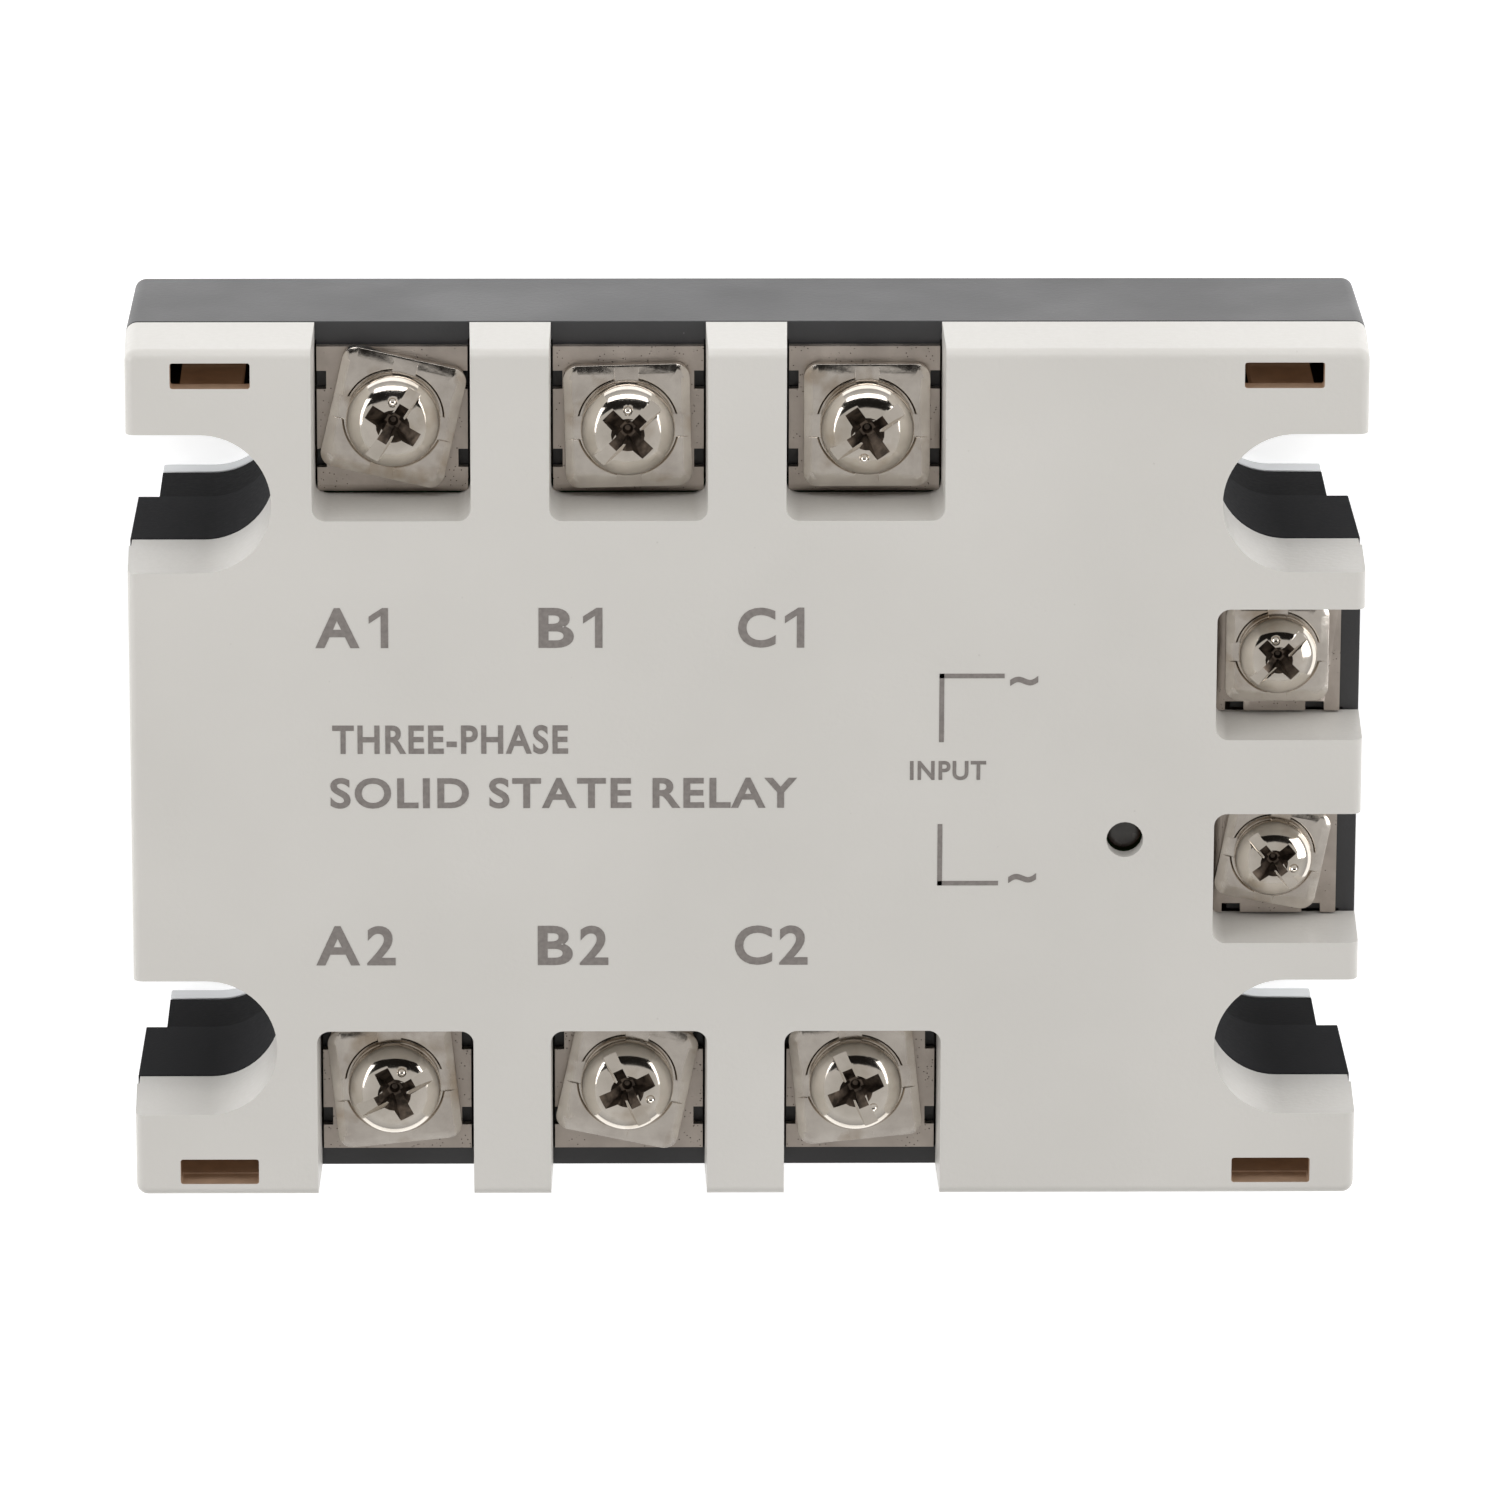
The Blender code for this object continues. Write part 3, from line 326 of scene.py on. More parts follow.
# Places are in mm along the terminal's side, offsets are from the nominal place, and turns are in degrees.
Terminal = namedtuple("Terminal", "family along side offset screw_turn washer_turn mark_turn")
TERMINALS = {
    "A1": Terminal(POWER, -29.7, 1, (0.10, 0.40), 58.0, -13.0, 90.0),
    "B1": Terminal(POWER, -9.9, 1, (-0.05, -0.35), 45.0, 1.5, 90.0),
    "C1": Terminal(POWER, 9.9, 1, (0.20, -0.30), 35.0, 0.0, -97.0),
    "A2": Terminal(POWER, -29.7, -1, (-0.20, -0.20), 28.0, 6.0, 72.0),
    "B2": Terminal(POWER, -9.9, -1, (-0.15, 0.05), -64.0, -12.0, -20.0),
    "C2": Terminal(POWER, 9.9, -1, (-0.45, 0.05), -66.0, 6.0, -45.0),
    "in1": Terminal(INPUT, 9.0, 0, (0.10, 0.10), 45.0, 0.0, 100.0),
    "in2": Terminal(INPUT, -9.0, 0, (0.00, 0.10), -51.0, -11.0, -16.0)}


def outward(name):
    """Turns a terminal's own drawing, with +Y out of the relay from its edge plane, to its place."""
    terminal = TERMINALS[name]
    if terminal.family is INPUT:
        return Matrix.Translation((LENGTH / 2, terminal.along, 0)) @ Matrix.Rotation(-math.pi / 2, 4, "Z")
    facing_out = Matrix.Rotation(0 if terminal.side > 0 else math.pi, 4, "Z")
    return Matrix.Translation((terminal.along, terminal.side * WIDTH / 2, 0)) @ facing_out


def axis_of(name):
    """Where a terminal's screw stands, in mm."""
    terminal = TERMINALS[name]
    centre = outward(name) @ Vector((0, -terminal.family["inset"], 0))
    return centre.x + terminal.offset[0], centre.y + terminal.offset[1]


def drum(place, radius, low, high, top_radius=None, steps=48):
    """A round bar or cone in mm."""
    bm = bmesh.new()
    middle = Matrix.Translation((place[0], place[1], (low + high) / 2))
    upper = radius if top_radius is None else top_radius
    bmesh.ops.create_cone(bm, cap_ends=True, segments=steps, radius1=radius, radius2=upper, depth=high - low,
                          matrix=middle)
    return bm


def plated_brass():
    metal = Finish("plated_brass", Metallic=1.0)
    cloud = metal.noise(350.0, 4.0)
    pit = metal.cells(3200.0)
    tone = metal.ramp(cloud, (0.3, (0.42, 0.37, 0.33)), (0.7, (0.56, 0.50, 0.45)))
    spots = metal.range(pit, 0.12, 0.2, 1.0, 0.0) * metal.noise(400.0).over(0.5)
    metal.set(Base_Color=metal.mix(spots, tone, (0.10, 0.08, 0.07, 1.0)),
              Roughness=metal.range(cloud, 0.3, 0.7, 0.3, 0.46))
    return metal.bump(metal.noise(2200.0, 3.0) - spots, 0.03)


def strap(name, finish):
    family, seat = TERMINALS[name].family, outward(name)
    half, inner = family["width"] / 2 - STRAP_PLAY, STRAP_PLAY - family["depth"]
    top = STRAP_FLOOR + STRAP_THICK
    pad = slab((-half, inner, STRAP_FLOOR), (half, -family["wall"] - GAP, top))
    bend = [e for e in pad.edges if max(v.co.y for v in e.verts) < inner + NEAR and
            min(v.co.z for v in e.verts) > STRAP_FLOOR + NEAR]
    round_over(pad, bend, STRAP_BEND, steps=6)
    made = shape(pad, "strap_" + name, seat)
    foot = SUBSTRATE_TOP + GAP if family is POWER else PARTS_FLOOR
    side = LEG_WIDTH / 2
    leg = slab((-side, inner, foot), (side, inner + STRAP_THICK, STRAP_FLOOR + LEG_LAP))
    adds = [shape(leg, "leg", seat)]
    if family is INPUT:
        sole = slab((-side, inner - SOLE_LENGTH, foot), (side, inner + SOLE_LAP, foot + STRAP_THICK))
        adds.append(shape(sole, "sole", seat))
    join(made, adds, "UNION")
    hole = drum((0, -family["inset"]), family["thread"] / 2 + FLOAT + GAP, STRAP_FLOOR - OVER, top + OVER)
    cuts = [shape(hole, "hole", seat)]
    for x in (-half, half):
        for end in (-1, 1):
            y = -family["inset"] + end * NICK_PLACE
            low = (x - NICK_HALF, y - NICK_HALF, STRAP_FLOOR - OVER)
            nick = slab(low, (x + NICK_HALF, y + NICK_HALF, top + OVER))
            cuts.append(shape(nick, "nick", seat))
    join(made, cuts, "DIFFERENCE")
    soften(made, STRAP_EDGE, steps=2)
    wear(made, finish)
    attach(made, "root")
    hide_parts("terminal_strap_" + name)


strap_metal = plated_brass()
for name in TERMINALS:
    strap(name, strap_metal)


# ---- Captive nuts
# Square steel nuts, zinc plated and bright. Each is dropped into a square well in the body before the strap
# goes over it, so that it can't turn when the screw is driven.

def bright_zinc():
    metal = Finish("bright_zinc", Metallic=1.0)
    spangle = metal.cells(900.0)
    metal.set(Base_Color=metal.ramp(spangle, (0.0, (0.56, 0.57, 0.58)), (1.0, (0.70, 0.70, 0.68))),
              Roughness=metal.range(spangle, 0.0, 1.0, 0.28, 0.42))
    return metal.bump(spangle, 0.01)


repaint(["square_nut_" + name for name in TERMINALS], bright_zinc())


# ---- Potting resin
# Dark two-part resin, poured over the power stage and cured there, which also holds the plate in the body.
# Its surface is glossy, with a slight ripple.

def cast_resin():
    cast = Finish("cast_resin", IOR=1.53)
    ripple = cast.noise(140.0, 2.0)
    cast.set(Base_Color=cast.ramp(ripple, (0.3, (0.035, 0.03, 0.026)), (0.7, (0.06, 0.052, 0.045))),
             Roughness=cast.range(ripple, 0.3, 0.7, 0.12, 0.25))
    return cast.bump(ripple, 0.2)


repaint(["potting_resin"], cast_resin())


# ---- Control board and what stands on it
# Green glass-fibre board with dark copper tracks. It carries three couplers, the snubber of each phase, and
# the input's dropper, rectifier and resistor. All are soldered in.

BAND_REPEAT, BAND_START = 1.1, 0.8   # of a resistor's colour bands


def solder_mask():
    board = Finish("solder_mask", IOR=1.5)
    track = board.node("ShaderNodeTexBrick", {"offset": 0.35, "squash": 2.0},
                       {"Vector": board.place, "Scale": 160.0, "Mortar Size": 0.03}, "Fac")
    weave = board.noise(1800.0, 2.0)
    board.set(Base_Color=board.mix(track, (0.015, 0.12, 0.05, 1.0), (0.03, 0.2, 0.09, 1.0)),
              Roughness=board.range(weave, 0.3, 0.7, 0.32, 0.48))
    return board.bump(track + weave * 0.2, 0.03)


def dull_moulding(name, dark, light):
    part = Finish(name, IOR=1.5)
    grain = part.noise(3000.0, 2.0)
    part.set(Base_Color=part.ramp(grain, (0.3, dark), (0.7, light)),
             Roughness=part.range(grain, 0.3, 0.7, 0.35, 0.5))
    return part.bump(grain, 0.01)


def banded_lacquer():
    lacquer = Finish("banded_lacquer", IOR=1.5)
    across = lacquer.node("ShaderNodeSeparateXYZ", {}, {"Vector": lacquer.place}, "X")
    wave = lacquer.node("ShaderNodeMath", {"operation": "PINGPONG"}, {0: across, 1: BAND_REPEAT * MM})
    band = wave.over(BAND_START * MM)
    skin = lacquer.noise(700.0, 2.0)
    lacquer.set(Base_Color=lacquer.mix(band, (0.30, 0.38, 0.46, 1.0), (0.32, 0.12, 0.05, 1.0)),
                Roughness=lacquer.range(skin, 0.3, 0.7, 0.3, 0.45))
    return lacquer.bump(skin, 0.05)


repaint(["control_board"], solder_mask())
repaint(["optocoupler_" + p for p in PHASES] + ["input_bridge_rectifier"],
        dull_moulding("epoxy_moulding", (0.022, 0.022, 0.026), (0.04, 0.04, 0.045)))
repaint(["snubber_capacitor_" + p for p in PHASES] + ["input_dropper_capacitor"],
        dull_moulding("dipped_capacitor", (0.36, 0.04, 0.025), (0.46, 0.06, 0.04)))
repaint(["snubber_resistor_" + p for p in PHASES] + ["input_resistor"], banded_lacquer())


# ---- Lamp
# A 3 mm lamp with a tinted epoxy lens, unlit. Its dome comes up close under the hole in the cover, and it
# stands on two tinned leads soldered in the board.

LAMP = (31.9, -5.5)
LAMP_RADIUS, LAMP_TOP, LAMP_HEIGHT = 1.5, 31.1, 3.6
LAMP_FLAT, LAMP_SHOULDER, LAMP_CROWN, SHOULDER_STEPS = 0.9, 0.8, 0.12, 12
FLANGE_RADIUS, FLANGE_HEIGHT, FLANGE_FILLET = 1.95, 1.0, 0.05
LEAD_WIDTH, LEAD_PITCH, LEAD_DROP, LAMP_EDGE = 0.5, 2.5, 0.5, 0.05


def turned(profile, name, place, steps=64):
    """A piece turned from its profile of (radius, height) in mm."""
    bm = bmesh.new()
    verts = [bm.verts.new((r, 0.0, z)) for r, z in profile]
    edges = [bm.edges.new(pair) for pair in zip(verts, verts[1:])]
    bmesh.ops.spin(bm, geom=verts + edges, cent=(0, 0, 0), axis=(0, 0, 1), angle=2 * math.pi, steps=steps,
                   use_merge=True)
    bmesh.ops.remove_doubles(bm, verts=bm.verts, dist=0.001)
    return shape(bm, name, Matrix.Translation((place[0], place[1], 0)))


def tinted_epoxy():
    lens = Finish("tinted_epoxy", IOR=1.5)
    haze = lens.noise(600.0, 2.0)
    lens.set(Base_Color=lens.ramp(haze, (0.3, (0.085, 0.083, 0.081)), (0.7, (0.11, 0.107, 0.104))),
             Roughness=lens.range(haze, 0.3, 0.7, 0.18, 0.3))
    return lens.bump(haze, 0.02)


flange_top = LAMP_TOP - LAMP_HEIGHT
lamp_profile = [(0.0, flange_top - FLANGE_HEIGHT), (FLANGE_RADIUS, flange_top - FLANGE_HEIGHT),
                (FLANGE_RADIUS, flange_top), (LAMP_RADIUS, flange_top + FLANGE_FILLET)]
for step in range(SHOULDER_STEPS + 1):
    climb = math.radians(90.0 * step / SHOULDER_STEPS)
    across = LAMP_FLAT + (LAMP_RADIUS - LAMP_FLAT) * math.cos(climb)
    lamp_profile.append((across, LAMP_TOP - LAMP_SHOULDER + (LAMP_SHOULDER - LAMP_CROWN) * math.sin(climb)))
for share, dip in ((0.7, 0.07), (0.35, 0.02), (0.0, 0.0)):
    lamp_profile.append((LAMP_FLAT * share, LAMP_TOP - dip))
lamp = turned(lamp_profile, "indicator_lamp", LAMP)
leads = []
for side in (-1, 1):
    x, half = LAMP[0] + side * LEAD_PITCH / 2, LEAD_WIDTH / 2
    lead = slab((x - half, LAMP[1] - half, PARTS_FLOOR), (x + half, LAMP[1] + half, flange_top - LEAD_DROP))
    leads.append(shape(lead, "lead"))
join(lamp, leads, "UNION")
soften(lamp, LAMP_EDGE, steps=2)
wear(lamp, tinted_epoxy())
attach(lamp, "root")
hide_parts("indicator_led")


# ---- Body
# One black moulding, closed at the bottom by the plate: a narrow foot, a ledge, and the wide upper half that
# the cover clips over. Towers inside its walls carry the straps and nuts. Each mounting slot has a wall.

DRAFT, BODY_WALL, BODY_END_WALL, SLOT_WALL = 0.2, 1.6, 1.4, 1.8
BODY_STEP, BODY_SHELF, BODY_CORNER, BODY_EDGE = 10.0, 1.8, 1.0, 0.2
# The last is how soft the edge of the painted shade at the parting line is, in mm.
TOWER_FLOOR, LINER_RIM, CORNER_LEDGE, PAINTED_STEP_BLUR = 14.0, 23.0, 0.6, 0.1
COVER_WALL, COVER_TOP = 1.2, 1.6
WINDOW_PLACE, WINDOW_SIZE = (44.7, 35.1), (6.65, 2.2)
HOOK_WIDTH, HOOK_THICK, HOOK_LENGTH, HOOK_BARB, HOOK_BARB_HEIGHT = 5.2, 1.2, 12.4, 1.5, 2.3
HOOK_FACE = WINDOW_PLACE[1] - WINDOW_SIZE[1] / 2 - GAP
CATCH_HEIGHT = 2.4
HEAD_SEAT, NUT_PLAY, TIP_PLAY = 27.0, 0.15, 0.9
LONG = 9.0   # a cutter's reach where it only has to be long enough


def lining(cutters):
    """Cutters or lumps whose faces keep the second finish of the piece that they cut or join; on the body,
    the cover and the screws that finish is painted shade, on the cover with a painted glow too.
    """
    for cutter in cutters:
        for face in cutter.data.polygons:
            face.material_index = 1
    return cutters


def outer_corner(x, y, grow):
    """Everything outside the inner corner of a slot's wall."""
    near_x, near_y = LENGTH / 2 - SLOT_REACH - grow, (SLOT_PITCH - SLOT_WIDTH) / 2 - grow
    xs, ys = sorted((x * near_x, x * LENGTH)), sorted((y * near_y, y * WIDTH))
    return shape(slab((xs[0], ys[0], -LONG), (xs[1], ys[1], HEIGHT)), "corner")


def black_moulding():
    skin = Finish("black_moulding", IOR=1.58)
    grain = skin.noise(2400.0, 4.0)
    cloud = skin.noise(90.0, 3.0)
    dust = skin.cells(900.0)
    speck = skin.range(dust, 0.03, 0.06, 1.0, 0.0) * skin.noise(210.0).over(0.6)
    tone = skin.ramp(cloud, (0.3, (0.024, 0.024, 0.026)), (0.7, (0.034, 0.034, 0.036)))
    skin.set(Base_Color=skin.mix(speck * 0.35, tone, (0.3, 0.3, 0.3, 1.0)),
             Roughness=skin.range(cloud, 0.3, 0.7, 0.36, 0.48))
    return skin.bump(grain, 0.02)


def slot_painted_shade_black():
    """The same black, matt, painted darker and with almost no reflection on the slot walls, as painted shade,
    and darker still below the parting line, more painted shade.
    """
    skin = Finish("slot_painted_shade_black", IOR=1.5, Specular_IOR_Level=0.02)
    level = skin.node("ShaderNodeSeparateXYZ", {}, {"Vector": skin.place}, "Z")
    painted_step_mask = skin.range(level, (BODY_STEP - PAINTED_STEP_BLUR) * MM, (BODY_STEP + PAINTED_STEP_BLUR) * MM, 0.0, 1.0)
    grain = skin.noise(2400.0, 4.0)
    # Painted shade: darker below the parting line, a little lighter above it.
    low = skin.ramp(grain, (0.3, (0.012, 0.012, 0.013)), (0.7, (0.018, 0.018, 0.019)))
    high = skin.ramp(grain, (0.3, (0.020, 0.020, 0.022)), (0.7, (0.027, 0.027, 0.029)))
    skin.set(Base_Color=skin.mix(painted_step_mask, low, high), Roughness=skin.range(grain, 0.3, 0.7, 0.55, 0.7))
    return skin.bump(grain, 0.02)


half_x, half_y = LENGTH / 2, WIDTH / 2
body = shape(slab((DRAFT - half_x, DRAFT - half_y, BODY_STEP), (half_x - DRAFT, half_y - DRAFT, BODY_TOP),
                  BODY_CORNER, lean=DRAFT), "relay_body")
foot = shape(slab((-plate_x, -plate_y, PLATE_THICK + GAP), (plate_x, plate_y, BODY_STEP + OVER), BODY_CORNER),
             "foot")
join(body, [foot], "UNION")
shelf = BODY_STEP + BODY_SHELF
wide = shape(slab((BODY_END_WALL - half_x, BODY_WALL - half_y, shelf),
                  (half_x - BODY_END_WALL, half_y - BODY_WALL, BODY_TOP + PAST)), "wide")
narrow = shape(slab((BODY_END_WALL - plate_x, BODY_WALL - plate_y, -PAST),
                    (plate_x - BODY_END_WALL, plate_y - BODY_WALL, shelf + OVER)), "narrow")
join(wide, [slot_bar(x, y, SLOT_WALL, -LONG, HEIGHT) for x, y in corners()], "DIFFERENCE")
join(narrow, [outer_corner(x, y, SLOT_WALL + CORNER_LEDGE) for x, y in corners()], "DIFFERENCE")
join(body, [wide, narrow], "DIFFERENCE")
# The slot walls take the second finish, a painted shade.
join(body, lining([slot_bar(x, y, 0.0, -PAST, HEIGHT) for x, y in corners()]), "DIFFERENCE")
liner_room = [slot_bar(x, y, COVER_WALL + GAP, LINER_RIM - GAP, HEIGHT) for x, y in corners()]
join(body, lining(liner_room), "DIFFERENCE")

lumps = []
catch_floor = HEIGHT - COVER_TOP - HOOK_LENGTH + HOOK_BARB_HEIGHT + GAP
for x, y in corners():
    near, far = sorted((y * (HOOK_FACE + GAP), y * (half_y - BODY_WALL + OVER)))
    low = (x * WINDOW_PLACE[0] - HOOK_WIDTH / 2 - GAP, near, catch_floor)
    high = (low[0] + HOOK_WIDTH + 2 * GAP, far, catch_floor + CATCH_HEIGHT)
    lumps.append(shape(slab(low, high), "catch"))
for name, terminal in TERMINALS.items():
    family = terminal.family
    low = (-family["width"] / 2, -(family["depth"] - 2 * GAP - STRAP_THICK), TOWER_FLOOR)
    high = (family["width"] / 2, OVER - family["wall"], BODY_TOP)
    lumps.append(shape(slab(low, high), "tower", outward(name)))
join(body, lumps, "UNION")

wells = []
for name, terminal in TERMINALS.items():
    family = terminal.family
    side, y = family["nut"] / 2 + FLOAT + NUT_PLAY, -family["inset"]
    low = (-side, y - side, BODY_TOP - family["nut_height"] - 2 * GAP)
    wells.append(shape(slab(low, (side, y + side, BODY_TOP + PAST)), "nut_well", outward(name)))
    depth = HEAD_SEAT - family["length"] - TIP_PLAY
    well = drum((0, y), family["thread"] / 2 + FLOAT + GAP, depth, BODY_TOP)
    wells.append(shape(well, "tip_well", outward(name)))
join(body, wells, "DIFFERENCE")
soften(body, BODY_EDGE)
# The second finish is the painted shade of the slot walls.
wear(body, black_moulding(), slot_painted_shade_black())
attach(body, "root")
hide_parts("body_housing")


# ---- Cover
# One pale grey moulding with a fine spark-eroded skin, clipped over the body by four hooks. A small window
# by each hook lets a blade in to release it. Each terminal has a pocket, and each corner a lined slot.

COVER_CORNER, COVER_ROUND, COVER_EDGE = 1.0, 0.8, 0.25
POCKET_CORNER, POCKET_LEAN = 1.1, 0.3
WINDOW_CORNER, LAMP_HOLE_RADIUS = 0.2, 1.55


def pale_moulding():
    skin = Finish("pale_moulding", IOR=1.46)
    grain = skin.noise(1900.0, 5.0)
    cloud = skin.noise(45.0, 3.0)
    dust = skin.cells(520.0)
    speck = skin.range(dust, 0.02, 0.06, 1.0, 0.0) * skin.noise(160.0).over(0.58)
    tone = skin.ramp(cloud, (0.3, (0.572, 0.556, 0.527)), (0.7, (0.606, 0.589, 0.560)))
    skin.set(Base_Color=skin.mix(speck * 0.3, tone, (0.33, 0.31, 0.28, 1.0)),
             Roughness=skin.range(grain, 0.3, 0.7, 0.3, 0.42))
    return skin.bump(grain, 0.03)


def inside_painted_shade_and_glow():
    """The inner faces of the thin pale wall, seen through the windows: a darker warm tan is painted shade,
    and a faint warm emission is a painted glow that stands in for light coming through the wall.
    """
    skin = Finish("inside_painted_shade_and_glow", IOR=1.46, Emission_Strength=1.0)
    grain = skin.noise(800.0, 3.0)
    skin.set(Base_Color=skin.ramp(grain, (0.3, (0.30, 0.21, 0.145)), (0.7, (0.36, 0.25, 0.175))),
             Emission_Color=skin.ramp(grain, (0.3, (0.028, 0.015, 0.008)), (0.7, (0.038, 0.021, 0.011))),
             Roughness=skin.range(grain, 0.3, 0.7, 0.55, 0.7))
    return skin.bump(grain, 0.02)


def pocket(name, low, grow):
    """The block that a terminal pocket is cut with."""
    family = TERMINALS[name].family
    half = family["width"] / 2 + grow
    bm = slab((-half, -family["depth"] - grow, low), (half, PAST, HEIGHT + PAST), POCKET_CORNER + grow,
              lean=POCKET_LEAN)
    return shape(bm, "pocket", outward(name))


def raised(outline, rise):
    """A flat outline of points in mm made a closed block, along a direction."""
    bm = bmesh.new()
    face = bm.faces.new([bm.verts.new(point) for point in outline])
    grown = bmesh.ops.extrude_face_region(bm, geom=[face])["geom"]
    moved = [v for v in grown if isinstance(v, bmesh.types.BMVert)]
    bmesh.ops.translate(bm, vec=rise, verts=moved)
    return bm


def hook(x, y):
    """A flexible leg with a barb, drawn in side view and given its width."""
    root, tip = HEIGHT - COVER_TOP + OVER, HEIGHT - COVER_TOP - HOOK_LENGTH
    back, catch = HOOK_FACE - HOOK_THICK, tip + HOOK_BARB_HEIGHT
    near = x * WINDOW_PLACE[0] - HOOK_WIDTH / 2
    side_view = [(back, root), (back, tip), (HOOK_FACE - HOOK_THICK / 3, tip), (HOOK_FACE + HOOK_BARB, catch),
                 (HOOK_FACE, catch), (HOOK_FACE, root)]
    return shape(raised([(near, y * a, b) for a, b in side_view], (HOOK_WIDTH, 0, 0)), "hook")


cover = shape(slab((-half_x, -half_y, COVER_RIM), (half_x, half_y, HEIGHT), COVER_CORNER, lean=-DRAFT,
                   fillet=COVER_ROUND), "relay_cover")
liners = [slot_bar(x, y, COVER_WALL, LINER_RIM, COVER_RIM + OVER, -DRAFT) for x, y in corners()]
join(cover, liners, "UNION")
inside = shape(slab((DRAFT + COVER_WALL - half_x, DRAFT + COVER_WALL - half_y, LINER_RIM - PAST),
                    (half_x - DRAFT - COVER_WALL, half_y - DRAFT - COVER_WALL, HEIGHT - COVER_TOP)), "inside")
join(inside, [pocket(name, LINER_RIM - 2 * PAST, COVER_WALL) for name in TERMINALS], "DIFFERENCE")
join(inside, [slot_bar(x, y, COVER_WALL, LINER_RIM - 2 * PAST, HEIGHT) for x, y in corners()], "DIFFERENCE")
# The inner faces and the hooks take the second finish, painted shade with a faint painted glow.
join(cover, lining([inside]), "DIFFERENCE")
join(cover, lining([hook(x, y) for x, y in corners()]), "UNION")
cuts = [slot_bar(x, y, 0.0, -PAST, HEIGHT + PAST) for x, y in corners()]
cuts += [pocket(name, LINER_RIM - PAST, 0.0) for name in TERMINALS]
windows = []
for x, y in corners():
    low = (x * WINDOW_PLACE[0] - WINDOW_SIZE[0] / 2, y * WINDOW_PLACE[1] - WINDOW_SIZE[1] / 2,
           HEIGHT - COVER_TOP - OVER)
    high = (low[0] + WINDOW_SIZE[0], low[1] + WINDOW_SIZE[1], HEIGHT + OVER)
    windows.append(shape(slab(low, high, WINDOW_CORNER, corner_steps=3), "window"))
lamp_hole = drum(LAMP, LAMP_HOLE_RADIUS, HEIGHT - COVER_TOP - OVER, HEIGHT + OVER, steps=24)
cuts.append(shape(lamp_hole, "lamp_hole"))
join(cover, cuts, "DIFFERENCE")
# The window walls take the same painted shade and glow.
join(cover, lining(windows), "DIFFERENCE")
soften(cover, COVER_EDGE)
# The second finish is the painted shade and glow of the faces inside the cover.
wear(cover, pale_moulding(), inside_painted_shade_and_glow())
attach(cover, "root")
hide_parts("top_cover")


# ---- Pressure washers
# Stamped square washers, nickel plated, captive under the screw heads. The rim is drawn down all round, the
# head sits in a shallow round seat, and a shallow channel runs from that seat to the middle of each side.

WASHER_FLOOR, WASHER_TOP, WASHER_CORNER, WASHER_EDGE = 25.7, 26.85, 1.2, 0.06
RIM_WIDE, RIM_DROP, BORE_PLAY = 0.7, 0.27, 0.15
SEAT_DEPTH, SEAT_PLAY, SEAT_FLARE = 0.16, 0.2, 1.3
CHANNEL_DEPTH, CHANNEL_SHARE, CHANNEL_EXTRA, CHANNEL_LAP = 0.2, 0.085, 0.1, 0.6


def worn_nickel():
    metal = Finish("worn_nickel", Metallic=1.0)
    cloud = metal.noise(420.0, 4.0)
    stain = metal.noise(260.0, 3.0)
    scratch = metal.noise(1500.0, 3.0, (1.0, 0.08, 1.0))
    tone = metal.ramp(cloud, (0.3, (0.58, 0.53, 0.48)), (0.7, (0.74, 0.69, 0.63)))
    brown = metal.range(stain, 0.55, 0.72, 0.0, 0.6)
    metal.set(Base_Color=metal.mix(brown, tone, (0.34, 0.25, 0.16, 1.0)),
              Roughness=metal.range(scratch, 0.3, 0.7, 0.12, 0.24))
    wave = metal.noise(110.0, 2.0)
    return metal.bump(cloud * 0.4 + scratch * 0.15 + wave * 2.0, 0.1)


def seat_of(name, angle):
    """Turns a piece drawn round the origin to its terminal's screw axis."""
    x, y = axis_of(name)
    return Matrix.Translation((x, y, 0)) @ Matrix.Rotation(math.radians(angle), 4, "Z")


def washer(name, finish):
    terminal = TERMINALS[name]
    family, seat = terminal.family, seat_of(name, terminal.washer_turn)
    half, head = family["washer"] / 2, family["head"] / 2
    square = slab((-half, -half, WASHER_FLOOR), (half, half, WASHER_TOP), WASHER_CORNER, fillet=RIM_WIDE,
                  fillet_steps=1)
    for v in square.verts:
        if WASHER_FLOOR + NEAR < v.co.z < WASHER_TOP - NEAR:
            v.co.z = WASHER_TOP - RIM_DROP
    made = shape(square, "washer_" + name, seat)
    bore = drum((0, 0), family["thread"] / 2 + BORE_PLAY, WASHER_FLOOR - OVER, WASHER_TOP + OVER)
    dish = drum((0, 0), head + SEAT_PLAY, WASHER_TOP - SEAT_DEPTH, WASHER_TOP + OVER, head + SEAT_FLARE,
                steps=72)
    cuts = [shape(bore, "bore", seat), shape(dish, "seat", seat)]
    side = CHANNEL_SHARE * family["washer"] + CHANNEL_EXTRA
    for quarter in range(4):
        low = (-side, head - CHANNEL_LAP, WASHER_TOP - CHANNEL_DEPTH)
        channel = slab(low, (side, half + OVER, WASHER_TOP + OVER))
        cuts.append(shape(channel, "channel", seat @ Matrix.Rotation(math.pi / 2 * quarter, 4, "Z")))
    join(made, cuts, "DIFFERENCE")
    soften(made, WASHER_EDGE, steps=2)
    wear(made, finish)
    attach(made, "washer_" + name)
    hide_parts("square_washer_" + name)


nickel = worn_nickel()
for name in TERMINALS:
    washer(name, nickel)


# ---- Terminal screws
# Nickel-plated pan head screws, cold headed and rolled: M4 for power, M3.5 for the input. The head has a
# cross recess crossed by a straight slot, and one small round mark beside it.

